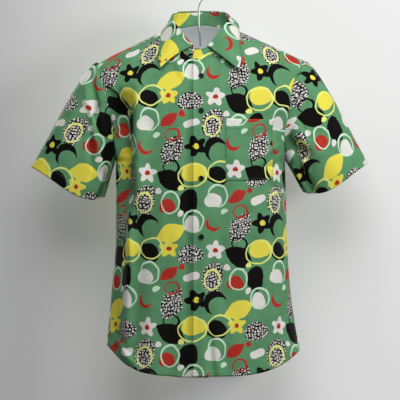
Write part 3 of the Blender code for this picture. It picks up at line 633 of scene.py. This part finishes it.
CUFFS = {
    -1: {"top": (-0.3600, -0.3990), "under": (-0.2034, -0.4614), "half": 0.036, "swell": (0.005, 0.038)},
    1: {"top": (0.3563, -0.3898), "under": (0.2183, -0.4516), "half": 0.046, "swell": (0.008, 0.034)},
}
CUFF_SHIFT = -0.008     # the cuffs hang this far in front of the armholes' middle
CUFF_HEM = 0.020        # depth of the cuff's hem
CROWN = 0.012           # how far the top of the sleeve rounds out
FULLNESS = 0.009        # how far its front and back round out
SLEEVE_PRINT = (0.031, 0.083)   # place in the print, to the other side on the other sleeve
SLEEVE_ROWS = 66
HALF_ROUND = 76         # columns from the shoulder to the armpit
# side; degrees round from the top by way of the front; start and end along the sleeve; half-width; height;
# drift, in degrees for the length of the sleeve
SLEEVE_FOLDS = (
    (-1, 62, 0.06, 0.62, 12, -0.0085, 0),
    (-1, 88, 0.05, 0.50, 11, 0.0065, 0),
    (-1, 128, 0.30, 1.00, 13, 0.0050, 0),
    (-1, 150, 0.45, 1.00, 11, -0.0040, 0),
    (-1, 255, 0.10, 0.80, 15, -0.0050, 0),
    (-1, 295, 0.20, 0.90, 15, 0.0045, 0),
    (-1, 18, 0.00, 0.34, 13, -0.0150, 290),
    (-1, 24, 0.08, 0.46, 13, 0.0100, 250),
    (-1, 60, 0.16, 0.66, 10, -0.0095, 120),
    (1, 141, 0.00, 0.62, 15, -0.0170, -70),
    (1, 116, 0.10, 0.70, 13, 0.0080, -50),
    (1, 70, 0.12, 0.66, 14, -0.0045, 0),
    (1, 105, 0.10, 0.70, 15, 0.0045, 0),
    (1, 140, 0.20, 1.00, 13, -0.0055, 0),
    (1, 245, 0.10, 0.80, 15, 0.0050, 0),
    (1, 290, 0.20, 0.90, 15, -0.0045, 0),
    (-1, 48, 0.02, 0.40, 4.5, 0.0049, 14),
    (-1, 66, 0.03, 0.36, 4.5, -0.0040, 16),
    (-1, 80, 0.06, 0.55, 5.0, 0.0045, 20),
    (-1, 112, 0.20, 0.85, 5.0, -0.0049, 10),
    (-1, 140, 0.50, 1.00, 4.5, 0.0054, -8),
    (-1, 160, 0.60, 1.00, 4.0, -0.0045, 6),
    (-1, 230, 0.10, 0.70, 5.5, 0.0049, -14),
    (-1, 275, 0.10, 0.80, 5.5, -0.0045, -10),
    (1, 40, 0.02, 0.42, 4.5, 0.0036, 16),
    (1, 84, 0.06, 0.55, 5.0, -0.0045, 18),
    (1, 118, 0.10, 0.75, 5.0, 0.0054, 12),
    (1, 132, 0.04, 0.50, 4.5, -0.0045, 10),
    (1, 156, 0.30, 1.00, 4.5, 0.0049, -6),
    (1, 222, 0.10, 0.80, 5.5, -0.0049, -12),
    (1, 268, 0.10, 0.70, 5.5, 0.0045, -12),
)


def armhole_ring(side, count):
    """Armhole seam and its turn: even steps from the shoulder down the front to the armpit, and up the
    back."""
    over = np.linspace(0, 90, 2001)
    ends = []
    for face in (-1, 1):
        run = run_length(upper_form(np.full_like(over, side * SHOULDER), over, face))
        even = np.interp(np.linspace(0, run[-1], count + 1), run, over)
        ends.append(upper_form(np.full_like(even, side * SHOULDER), even, face))
    return np.concatenate([ends[0], ends[1][-2:0:-1]]), np.arange(2 * count) * 180 / count


def sleeve_grid(side):
    """Sleeve from armhole to cuff: straight lines between the two rings, rounded out by a sine along them,
    with its folds as bells across lines that run along it. Gives its points, its outward directions and its
    points without the folds."""
    line, turn = armhole_ring(side, HALF_ROUND)
    cuff = CUFFS[side]
    top, low = [np.array([x, CUFF_SHIFT, z]) for x, z in (cuff["top"], cuff["under"])]
    angle = np.radians(turn)
    width = np.linalg.norm(low - top)
    across = (low - top) / width
    out = unit(np.array([side * abs(across[2]), 0.0, -abs(across[0])]))
    up = unit(np.array([side * abs(out[2]), 0.0, abs(out[0])]))
    share = (1 - np.cos(angle)) / 2
    least, most = cuff["swell"]
    swell = np.sin(angle) ** 2 * (least + (most - least) * share ** 1.5)
    hem = top + np.outer(share * width, across) + np.outer(swell, out)
    hem[:, 1] -= cuff["half"] * np.sin(angle)
    u = np.linspace(0, 1, SLEEVE_ROWS)[:, None]
    grid = line + (hem - line) * u[..., None]
    crown = CROWN * np.sin(math.pi * u ** 0.45) * np.maximum(np.cos(angle), 0) ** 2
    grid += crown[..., None] * up
    grid[..., 1] -= FULLNESS * np.sin(math.pi * u) * np.sin(angle)
    height = 0.0006 * np.sin(angle * 7 + 5 * u) * np.sin(math.pi * u)
    for which, at, start, end, spread, peak, drift in SLEEVE_FOLDS:
        if which == side:
            ends = ease((u - start) / 0.2) * (1.0 if end >= 1 else ease((end - u) / 0.2))
            height = height + peak * ends * np.exp(-((turn - at - drift * (u - start)) / spread) ** 2)
    outward = np.outer(np.cos(angle), up) + np.outer(-np.sin(angle), [0, 1, 0])
    return grid + outward * height[..., None], outward, grid


for side, name in ((1, "sleeve_left"), (-1, "sleeve_right")):
    grid, outward, smooth = sleeve_grid(side)
    down = run_length(grid)
    arm = unit(smooth[-1].mean(axis=0) - smooth[0].mean(axis=0))
    closed = np.concatenate([smooth, smooth[:, :1]], axis=1)
    u = run_length(closed - (closed @ arm)[..., None] * arm, 1)
    u = np.where(u > u[:, HALF_ROUND:HALF_ROUND + 1], u - u[:, -1:], u)[:, :-1] * -side
    square = unit(np.cross(arm, [0.0, 1.0, 0.0])) * -side
    start = smooth[:1, :1]
    u = u + (smooth[:, :1] - start) @ square
    uv = np.stack([u, (start - smooth) @ arm], axis=-1) + np.multiply(SLEEVE_PRINT, side)
    sewn = np.minimum(down + 0.0005, down[-1:] - down - CUFF_HEM)
    sleeve = cloth_piece(name + "_cloth", grid, uv, sewn, outward, ring=True)
    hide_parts(name)


# ---------------------------------------------------------------- collar
# A stand of doubled cloth runs round the neck and laps in front, and the leaf turns down from its top edge
# over the shoulders to two points. The leaf is doubled too, and stitched 5 mm from its free edge.

ROLL_HALF, ROLL_DEPTH = 0.060, 0.050    # half-axes of the oval along the stand's top
ROLL_CENTRE_Y = -0.016
ROLL_CREST = 0.0035     # the leaf rolls this high over the stand
# The roll of the leaf, from the stand's top outwards. share of the crest; distance outwards
ROLL = ((0.0, 0.0), (0.75, 0.0002), (1.0, 0.0012), (0.85, 0.0026), (0.4, 0.0036))
STAND_END = 194.06      # degrees from the middle of the back
STAND_OUT = 0.0004      # its foot is this far outside the neck seam
STAND_ROWS, STAND_COLUMNS = 17, 197
STAND_STITCH = 0.0015   # its sewn lines are this far from its edges
STAND_PRINT = (0.052, 0.160)
LEAF_END = 166.0        # degrees from the middle of the back
LEAF_ROWS, LEAF_COLUMNS = 30, 187
LEAF_STITCH = 0.005
LEAF_PRINT = (-0.227, 0.071)
LEAF_MIDDLE = 18        # the row whose length places the print across the leaf
LEAF_CLEAR = 0.0012     # the leaf's edge lies this far over the fronts
LEAF_LIFT = {-1: 0.0115, 1: 0.0130}     # how far its points stand off, the wearer's right first
LEAF_DROP = {-1: 0.004, 1: 0.010}       # how much lower they hang than on the solid
LEAF_BULGE = (0.003, 0.0035)    # how far it swells over the fronts, and how much more on the wearer's left
LEAF_WAVE = 0.0008      # height of its ripples
LEAF_SWAY = 0.008       # how hollow its front edge hangs on the wearer's right
SEAM = 0.0003           # gap between the stand's top and the leaf
STAND_TOP = {
    "turn": (0, 45, 90, 130, 150, 165, 180, 195),
    "height": (-0.0680, -0.0700, -0.0820, -0.1050, -0.1270, -0.1430, -0.1490, -0.1510),
}
LEAF_EDGE = {
    "turn": (0, 15, 30, 45, 60, 75, 90, 103, 115, 127, 139, 152, 166),
    "across": (0.000, 0.020, 0.039, 0.056, 0.069, 0.077, 0.0805,
               0.0825, 0.084, 0.0845, 0.084, 0.0835, 0.0835),
    "over": (25.0, 24.5, 22.5, 19.0, 14.0, 8.0, 0.0, -12.6, -19.9, -26.4, -31.6, -35.9, -40.5),
}


def stand_top(turns):
    """Top edge of the stand: an oval round the neck that falls towards the front."""
    angle = np.radians(turns)
    height = through(STAND_TOP["turn"], STAND_TOP["height"], np.abs(turns))
    y = ROLL_CENTRE_Y + ROLL_DEPTH * np.cos(angle)
    return np.stack([ROLL_HALF * np.sin(angle), y, height], axis=-1)


def neck_seam(turns):
    """The neck seam by degrees round the neck from the back, the wearer's left positive."""
    across = NECK_HALF * np.sin(np.radians(turns))
    over = np.abs(neck_over(turns))
    front = body_points(across, over, 0 * over, -1)
    behind = body_points(across, over, 0 * over, 1)
    return np.where((np.abs(turns) > 90)[:, None], front, behind)


def round_neck(turns):
    """Directions out of the neck, and how far the stand's under end is shifted behind the upper one."""
    angle = np.radians(turns)
    behind = np.where(turns < -100, under_lap(NECK_HALF * np.sin(angle)), 0.0)
    return np.stack([np.sin(angle), np.cos(angle), 0 * turns], axis=-1), behind[:, None] * [0.0, 1.0, 0.25]


turns = np.linspace(-STAND_END, STAND_END, STAND_COLUMNS)
radial, shift = round_neck(turns)
seam, crest = neck_seam(turns) + radial * STAND_OUT, stand_top(turns)
rise = np.linspace(0, 1, STAND_ROWS)[:, None, None]
stand = seam + (crest - seam) * rise + shift
around, high = run_length(stand, 1), run_length(stand)
uv = np.stack([np.broadcast_to(around[STAND_ROWS // 2], high.shape), high], axis=-1) + STAND_PRINT
sewn = np.minimum(high, high[-1:] - high) - STAND_STITCH
stand_piece = cloth_piece("collar_stand_cloth", stand, uv, sewn, radial, doubled=True)
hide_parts("collar_stand")

turns = np.linspace(-LEAF_END, LEAF_END, LEAF_COLUMNS)
radial, shift = round_neck(turns)
round_to = np.abs(turns)
crest = stand_top(turns) + shift
across = np.sign(turns) * through(LEAF_EDGE["turn"], LEAF_EDGE["across"], round_to)
over = through(LEAF_EDGE["turn"], LEAF_EDGE["over"], round_to)
behind, front = [upper_form(across, np.abs(over), face) for face in (1, -1)]
lying = np.where((over >= 0)[:, None], behind, front)
lift = by_side(turns, LEAF_LIFT) * ease((round_to - 112) / 48)
drop = by_side(turns, LEAF_DROP) * ease((round_to - 125) / 41)
up = np.array([0.0, 0.0, 1.0])
edge = lying + unit(radial + 1.4 * up) * (WALL + LEAF_CLEAR) + radial * lift[:, None] - up * drop[:, None]
*roll, shoulder = [crest + up * (SEAM + share * ROLL_CREST) + radial * out for share, out in ROLL]
fall = np.linspace(0, 1, LEAF_ROWS)[:, None, None]
bulge = (LEAF_BULGE[0] + LEAF_BULGE[1] * np.sin(np.radians(turns)))[:, None] * np.sin(math.pi * fall)
wave = LEAF_WAVE * np.sin(np.radians(turns) * 9)[None, :, None] * np.sin(math.pi * fall) ** 2
sway = LEAF_SWAY * ease((-turns - 132) / 34)[None, :, None] * np.sin(math.pi * fall ** 0.75)
hanging = shoulder + (edge - shoulder) * fall + radial * (bulge + wave) + sway * [-1.0, 0.15, 0.0]
leaf = np.concatenate([np.stack(roll), hanging])
leaf_outward = unit(radial + 0.6 * up)
around, down = run_length(leaf, 1), run_length(leaf)
uv = np.stack([np.broadcast_to(around[LEAF_MIDDLE], down.shape), -down], axis=-1) + LEAF_PRINT
sewn = np.minimum(down[-1:] - down, np.minimum(around, around[:, -1:] - around)) - LEAF_STITCH
leaf_piece = cloth_piece("collar_leaf_cloth", leaf, uv, sewn, leaf_outward, doubled=True)
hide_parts("collar_leaf")


# ---------------------------------------------------------------- pocket
# A square-cornered patch of the same cloth on the wearer's left front, cut from another part of the print.
# Its sides and its foot are stitched down, and its open top has a hem.

POCKET_SIDES = NECK_HALF * math.sin(math.radians(65)), SHOULDER * 0.846
POCKET_LOW = 0.097      # share of the way from the armpit's height down to the hem
POCKET_TOP = 69.3       # degrees over the ridge
POCKET_HEM = 0.022
POCKET_STITCH = 0.002   # its stitches are this far from its sides
POCKET_OUT = 0.0012     # it lies this far over the front
POCKET_PRINT = (0.006, 0.121)
POCKET_COLUMNS, POCKET_LOW_ROWS, POCKET_TOP_ROWS = 52, 15, 28
MOUTH_RISE, MOUTH_GAPE = 0.045, 0.0016  # over this height its middle comes to stand off this far

low = np.linspace(POCKET_LOW, 0, POCKET_LOW_ROWS + 1)[:-1]
high = np.linspace(90, POCKET_TOP, POCKET_TOP_ROWS)
down, over = np.concatenate([low, 0 * high]), np.concatenate([90 + 0 * low, high])
columns, down = np.meshgrid(np.linspace(*POCKET_SIDES, POCKET_COLUMNS), down)
pocket = body_points(columns, over[:, None] * np.ones_like(columns), down, -1)
u, v = run_length(pocket, 1), run_length(pocket)
mouth = ease((v - v[-1:] + MOUTH_RISE) / MOUTH_RISE) * np.sin(math.pi * u / u[:, -1:])
outward = unit(np.cross(pocket[1:2, 1:] - pocket[:1, 1:], pocket[:1, 1:] - pocket[:1, :-1])).mean(axis=(0, 1))
outward = outward * np.sign(-outward[1])
pocket = pocket + outward * (POCKET_OUT + MOUTH_GAPE * mouth[..., None])
side_line = np.minimum(np.minimum(u, u[:, -1:] - u), v) - POCKET_STITCH
hem_line = v[-1:] - v - POCKET_HEM
sewn = np.where(np.abs(hem_line) < np.abs(side_line), hem_line, side_line)
uv = np.stack([u, v], axis=-1) + POCKET_PRINT
pocket_piece = cloth_piece("chest_pocket_cloth", pocket, uv, sewn, [0.0, -1.0, 0.0])
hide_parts("chest_pocket")


# ---------------------------------------------------------------- buttons
# Five dark four-hole buttons of cast plastic, 11 mm across, with a raised rim and a dished face, sewn through
# the upper front on its centre line with dark green thread.

BUTTON_HEIGHTS = (-0.2062, -0.2803, -0.4226, -0.5461, -0.6790)
HOLE_RING, HOLE_RADIUS = 0.0013, 0.00055
HOLE_DEPTH, HOLE_EDGE = 0.0011, 0.0003
BUTTON_CLEAR = 0.0004   # the back of a button is this far over the cloth
DISH_RADIUS, DISH_RINGS = 0.00395, 22
DISH_LEVEL, DISH_SWELL = 0.00145, 0.00015   # height of the dish over the back, and how it bends
RIM = {                 # profile from the dish over the rim to the back, in millimetres
    "radius": (4.3, 4.7, 5.1, 5.4, 5.5, 5.5, 5.3, 4.8, 2.0, 0.05),
    "level": (1.95, 2.15, 2.2, 2.0, 1.6, 0.7, 0.25, 0.0, 0.0, 0.0),
}

button_look, button_shader = new_look("dark_button", {"Specular IOR Level": 0.15})
spot = Value(button_look.node_tree).node("ShaderNodeTexCoord", out=3)
cloud = spot.noise(260.0, 3.0, Distortion=1.2)
cloud.over(ink(2, 3, 2), ink(10, 13, 11)).feed(button_shader, "Base Color")
(cloud * 0.2 + 0.42).feed(button_shader, "Roughness")


def plain_mesh(name, points, faces, look):
    """Object from points and a list of outward faces."""
    mesh = bpy.data.meshes.new(name)
    mesh.from_pydata(points.reshape(-1, 3).tolist(), [], faces)
    mesh.materials.append(look)
    return placed(name, mesh)


def ring_faces(rows, count):
    """Quads between rings that follow each other, and one face over each end."""
    index = np.arange(rows * count).reshape(rows, count)
    closed = np.concatenate([index, index[:, :1]], axis=1)
    return quads(closed).tolist() + [index[0, ::-1].tolist(), index[-1].tolist()]


def button_surface():
    """Points and faces of a button: rings from the middle of the back over the rim to the middle of the face.
    The face is dished by a cosine inside its rim, and four smooth pits make the holes."""
    inner = np.linspace(0.00005, DISH_RADIUS, DISH_RINGS)
    ring = np.concatenate([inner, np.array(RIM["radius"]) / 1000])
    dish = DISH_LEVEL - DISH_SWELL * np.cos(inner / DISH_RADIUS * math.pi)
    level = np.concatenate([dish, np.array(RIM["level"]) / 1000])
    angle = np.radians(np.arange(0, 360, 7.5))
    x, y = np.outer(ring, np.cos(angle)), np.outer(ring, np.sin(angle))
    z = np.repeat(level[:, None], len(angle), axis=1)
    for turn in np.radians((45, 135, 225, 315)):
        away = np.hypot(x - HOLE_RING * np.cos(turn), y - HOLE_RING * np.sin(turn))[:DISH_RINGS]
        z[:DISH_RINGS] -= HOLE_DEPTH * ease((HOLE_RADIUS + 0.0002 - away) / HOLE_EDGE)
    return np.stack([x, y, z], axis=-1)[::-1].reshape(-1, 3), ring_faces(*x.shape)


def between(at, stations, rows):
    """Rows of points or normals, read off at places between their stations."""
    return np.stack([np.interp(at, stations, rows[:, axis]) for axis in range(3)], axis=-1)


def sewn_place(height):
    """Where a button is sewn: the point of the upper front's centre line at that height, and the directions
    to its right, up and out of the cloth."""
    grid, centre, _ = body["front_left"]
    line = grid[:, centre]
    normals = unit(np.cross(grid[:, centre + 1] - grid[:, centre - 1], np.gradient(line, axis=0)))
    normals *= np.sign(-normals[:, 1:2])
    order = np.argsort(line[:, 2])
    place, normal = [between(height, line[order, 2], part[order]) for part in (line, normals)]
    normal = unit(normal)
    right = unit(np.cross([0.0, 0.0, 1.0], -normal)) * -1
    return place, np.stack([right, np.cross(normal, right), normal])


disc, disc_faces = button_surface()
for number, height in enumerate(BUTTON_HEIGHTS, 1):
    place, axes = sewn_place(height)
    turned = place + axes[2] * BUTTON_CLEAR + disc @ axes
    button = plain_mesh(f"button_{number}_disc", turned, disc_faces, button_look)
    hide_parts(f"button_{number}")


# ---------------------------------------------------------------- stitching
# Lock-stitch in green thread, about eight stitches to the inch, along the rolled hem, the cuffs, the edges
# of the leaf, and round the pocket. Each stitch is a short grain that lies on the cloth. The buttons' thread
# is darker and thicker.

STITCH = {"pitch": 0.0031, "long": 0.0024, "thick": 0.00022}
BUTTON_STITCH = {"pitch": 0.00285, "long": 0.0027, "thick": 0.0003}
BUTTON_FACE = 0.0018    # height of the buttons' thread over the cloth
BAR_APART = 0.00092     # half the distance between its two bars


def thread(name, shade, light):
    """Twisted thread of one colour, its diagonal ply bands painted in a shaded and a lit tone: painted shade
    and light of the twist.
    """
    look, shader = new_look(name, {"Roughness": 0.6})
    spot = Value(look.node_tree).node("ShaderNodeTexCoord", out=3)
    # Diagonal bands in the shaded and lit tones: painted shade and light of the twisted plies.
    painted_twist_shade = spot.node("ShaderNodeTexWave", {"bands_direction": "DIAGONAL"}, {"Vector": spot, "Scale": 900.0})
    painted_twist_shade.over(shade, light).feed(shader, "Base Color")
    return look


thread_look = thread("green_thread", ink(62, 118, 76), ink(104, 170, 120))
dark_thread = thread("dark_thread", ink(22, 40, 28), ink(44, 70, 50))


def stitches(path, normal, pitch, long, thick):
    """Stitches along a path of points with normals: six-sided grains, pointed at both ends, one to each
    pitch."""
    run = run_length(path)
    at = np.arange(pitch / 2, run[-1], pitch)
    facing = unit(between(at, run, normal))
    along = unit(between(at + 1e-4, run, path) - between(at - 1e-4, run, path))
    turn = np.radians(np.arange(0, 360, 60))
    ring = np.stack([0 * turn, np.cos(turn) * thick, np.sin(turn) * thick], axis=-1)
    tips = np.array([[-long / 2, 0, -thick], [long / 2, 0, -thick]])
    belt = [ring + [-long / 3.4, 0, 0], ring + [long / 3.4, 0, 0]]
    shape = np.concatenate([tips[:1], *belt, tips[1:]])
    axes = np.stack([along, np.cross(facing, along), facing], axis=1)
    middle = between(at, run, path) + facing * thick * 0.4
    points = middle[:, None] + np.einsum("ka,nab->nkb", shape, axes)
    k = np.arange(6)
    after = (k + 1) % 6
    first = 0 * k
    corners = ((first, 1 + after, 1 + k), (first + 13, 7 + k, 7 + after),
               (1 + k, 1 + after, 7 + after), (1 + k, 7 + after, 7 + k))
    each = np.concatenate([np.stack(three, axis=1) for three in corners])
    return points.reshape(-1, 3), (each[None] + 14 * np.arange(len(at))[:, None, None]).reshape(-1, 3)


def sewn_line(name, paths, look=thread_look, sizes=STITCH):
    """One object for all the stitches along several paths."""
    points, faces, count = [], [], 0
    for path, normal in paths:
        some, triangles = stitches(path, normal, **sizes)
        points.append(some)
        faces += (triangles + count).tolist()
        count += len(some)
    return plain_mesh(name, np.concatenate(points), faces, look)


def grid_normals(grid, outward):
    """Unit normals of a grid, on the side that outward names."""
    normal = unit(np.cross(np.gradient(grid, axis=1), np.gradient(grid, axis=0)))
    facing = np.einsum("ijk,ijk->ij", normal, np.broadcast_to(outward, grid.shape))
    return normal * np.where(facing < 0, -1.0, 1.0)[..., None]


def row_at(grid, normals, place):
    """Points and normals where each column reaches its own place, counted in rows."""
    k = np.clip(np.floor(place).astype(int), 0, len(grid) - 2)
    part = (place - k)[:, None]
    cols = np.arange(grid.shape[1])
    return [made[k, cols] * (1 - part) + made[k + 1, cols] * part for made in (grid, normals)]


hem_paths = []
for grid, _, face in body.values():
    step = np.linalg.norm(grid[1] - grid[0], axis=-1)
    hem_paths.append(row_at(grid, grid_normals(grid, [0.0, face, 0.0]), HEM_TURN / step))
for side in (1, -1):
    grid, outward = [np.concatenate([made, made[..., :1, :]], axis=-2) for made in sleeve_grid(side)[:2]]
    step = np.linalg.norm(grid[-1] - grid[-2], axis=-1)
    hem_paths.append(row_at(grid, grid_normals(grid, outward), len(grid) - 1 - CUFF_HEM / step))
sewn_line("hem_stitching", hem_paths)

normals = grid_normals(leaf, leaf_outward)
step = np.linalg.norm(leaf[-1] - leaf[-2], axis=-1)
free_edge = row_at(leaf, normals, len(leaf) - 1 - LEAF_STITCH / step)
leaf_paths = [[part[3:-3] for part in free_edge]]
leaf_paths += [[part[6:32, column] for part in (leaf, normals)] for column in (3, -4)]
sewn_line("leaf_stitching", leaf_paths)

normals = grid_normals(pocket, [0.0, -1.0, 0.0])
places = (np.s_[:, 1], np.s_[:, -2], np.s_[1], np.s_[-8])
sewn_line("pocket_stitching", [(pocket[place], normals[place]) for place in places])

thread_paths = []
for height in BUTTON_HEIGHTS:
    place, (right, tall, normal) = sewn_place(height)
    bar = np.linspace(-1.1, 1.1, 9)[:, None] * HOLE_RING
    for lift in (-BAR_APART, BAR_APART):
        line = place + normal * BUTTON_FACE + bar * right + lift * tall
        thread_paths.append([line, np.broadcast_to(normal, line.shape)])
sewn_line("button_thread", thread_paths, dark_thread, BUTTON_STITCH)


# ---------------------------------------------------------------- hanger
# A plain steel hanger inside the shirt: a thin rod that follows the shoulders and dips under the open neck,
# and a bright wire hook that rises out of the neck. The rod is the solid's own; the hook is drawn on a
# smooth line.

WIRE_RADIUS = 0.0022
HOOK_INNER = 0.018
HOOK_TURN = (-58, 210)  # degrees of the bend, from its foot over the top to its tip
STEM = {
    "height": (-0.1444, -0.1250, -0.1000, -0.0780, -0.0640, -0.0530, -0.0445, -0.0392),
    "side": (0.0, -0.0012, -0.0034, -0.0040, -0.0036, -0.0020, 0.0010, 0.0050),
}

steel, steel_shader = new_look("bright_steel", {"Metallic": 0.85})
spot = Value(steel.node_tree).node("ShaderNodeTexCoord", out=3)
spot.noise(24.0, 2.0).over(ink(196, 198, 202), ink(222, 223, 226)).feed(steel_shader, "Base Color")
(spot.noise(380.0, 4.0) * 0.16 + 0.26).feed(steel_shader, "Roughness")
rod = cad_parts["hanger_arms"]
rod.data.materials.clear()
rod.data.materials.append(steel)


def wire(name, line):
    """Round wire along a smooth line in the plane of the hanger: rings square to it, and domed, closed
    ends."""
    along = unit(np.gradient(line, axis=0))
    side = np.broadcast_to([0.0, 1.0, 0.0], line.shape)
    dome = np.concatenate([[0.02, 0.6, 0.9], np.ones(len(line) - 6), [0.9, 0.6, 0.02]])
    turn = np.radians(np.arange(0, 360, 22.5))
    cosine, sine = np.cos(turn)[:, None], np.sin(turn)[:, None]
    circle = cosine * side[:, None] + sine * np.cross(along, side)[:, None]
    rings = line[:, None] + WIRE_RADIUS * dome[:, None, None] * circle
    return plain_mesh(name, rings, ring_faces(len(line), len(turn)), steel)


height = np.linspace(STEM["height"][0], STEM["height"][-1], 44)
stem = np.stack([through(STEM["height"], STEM["side"], height), 0 * height, height], axis=-1)
turn = np.radians(np.linspace(*HOOK_TURN, 78))
middle = HOOK_INNER + WIRE_RADIUS
bend = np.stack([middle * np.cos(turn), 0 * turn, middle * np.sin(turn) - HOOK_INNER], axis=-1)
hook = wire("hook_wire", np.concatenate([stem, bend]))
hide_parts("hanger_hook")


# ---------------------------------------------------------------- floor, wall, lights and camera
# A pale sweep stands behind and below, and can be seen through from behind. Its colour and faint glow are
# painted lighter from left to right, a painted falloff of light, and the glow is painted light that lifts its
# shadows. A large soft lamp lights the front from above, a weaker one from the right, and two light the back.
# The camera is level, on a long lens ten metres in front.

FLOOR_LEVEL, FLOOR_FRONT = -1.65, -4.0
WALL_AT, WALL_TOP = 0.13, 2.4   # 13 cm behind the hook
BEND_RADIUS = 0.50
SWEEP_HALF = 2.4        # half its width
CAMERA_AT, CAMERA_LENS = (-0.0011, -10.0, -0.4686), 422.5
PAINTED_LIGHT_FROM, PAINTED_LIGHT_TO = -0.72, 0.12      # the wall's colour and glow are painted lighter from left to right between these: a painted falloff of light

# The sweep glows faintly, painted light that lifts the shadows on it, and its colour and glow grade from left
# to right, a painted falloff of light.
sweep_look, sweep_shader = new_look("pale_sweep", {"Roughness": 0.9, "Specular IOR Level": 0.1,
                                                   "Emission Strength": 0.31})
tree = sweep_look.node_tree
spot = Value(tree).node("ShaderNodeTexCoord", out=3)
painted_light_falloff = spot.node("ShaderNodeMapRange", {"interpolation_type": "SMOOTHSTEP"},
                   {0: spot.first_two()[0], 1: PAINTED_LIGHT_FROM, 2: PAINTED_LIGHT_TO})
painted_light_falloff.over(ink(152, 152, 153), ink(206, 206, 206)).feed(sweep_shader, "Base Color")
painted_light_falloff.over(ink(158, 158, 159), ink(213, 213, 213)).feed(sweep_shader, "Emission Color")
from_behind = Value(tree).node("ShaderNodeNewGeometry", out=6)
clear = Value(tree).node("ShaderNodeBsdfTransparent")
shown = from_behind.node("ShaderNodeMixShader", None,
                         {0: from_behind, 1: Value(tree, sweep_shader.outputs[0]), 2: clear})
shown.feed(tree.nodes["Material Output"], "Surface")

turn = np.radians(np.linspace(0, 90, 13))
bend_out = WALL_AT - BEND_RADIUS + BEND_RADIUS * np.sin(turn)
bend_up = FLOOR_LEVEL + BEND_RADIUS - BEND_RADIUS * np.cos(turn)
depth = np.concatenate([[FLOOR_FRONT, -1.5], bend_out, [WALL_AT, WALL_AT]])
level = np.concatenate([[FLOOR_LEVEL, FLOOR_LEVEL], bend_up, [0.5, WALL_TOP]])
width, depth = np.meshgrid(np.linspace(-SWEEP_HALF, SWEEP_HALF, 9), depth)
sweep_points = np.stack([width, depth, np.broadcast_to(level[:, None], depth.shape)], axis=-1)
sweep_faces = quads(np.arange(depth.size).reshape(depth.shape))
sweep_mesh = bpy.data.meshes.new("sweep")
sweep_mesh.from_pydata(sweep_points.reshape(-1, 3).tolist(), [], sweep_faces.tolist())
sweep_mesh.materials.append(sweep_look)
sweep_mesh.shade_smooth()
floor = bpy.data.objects.new("sweep", sweep_mesh)
bpy.context.scene.collection.objects.link(floor)
floor.visible_shadow = False
floor.visible_diffuse = False

world = bpy.data.worlds.new("room")
world.use_nodes = True
room = world.node_tree.nodes["Background"].inputs
room["Color"].default_value = (0.80, 0.81, 0.83, 1.0)
room["Strength"].default_value = 0.13
bpy.context.scene.world = world


def soft_lamp(name, place, target, size, power):
    """Square lamp turned to a target."""
    data = bpy.data.lights.new(name, "AREA")
    data.shape = "SQUARE"
    data.size = size
    data.energy = power
    lamp = bpy.data.objects.new(name, data)
    lamp.location = place
    away = np.array(place) - np.array(target)
    flat = math.hypot(away[0], away[1])
    lamp.rotation_euler = (math.atan2(flat, away[2]), 0.0, math.atan2(away[0], -away[1]))
    bpy.context.scene.collection.objects.link(lamp)


soft_lamp("key", (0.10, -2.1, 2.05), (0.0, 0.0, -0.4), 2.6, 98)
soft_lamp("side", (2.3, -1.7, 0.2), (0.0, 0.0, -0.4), 0.9, 37)
soft_lamp("back_key", (-1.6, 2.6, 0.9), (0.0, 0.0, -0.4), 0.9, 80)
soft_lamp("back_fill", (2.0, 2.2, 0.2), (0.0, 0.0, -0.5), 1.2, 18)

camera_data = bpy.data.cameras.new("camera")
camera_data.lens = CAMERA_LENS
camera_data.sensor_width = 36.0
camera = bpy.data.objects.new("camera", camera_data)
camera.location = CAMERA_AT
camera.rotation_euler = (math.radians(90), 0.0, 0.0)
bpy.context.scene.collection.objects.link(camera)
bpy.context.scene.camera = camera
bpy.context.scene.view_settings.view_transform = "Standard"
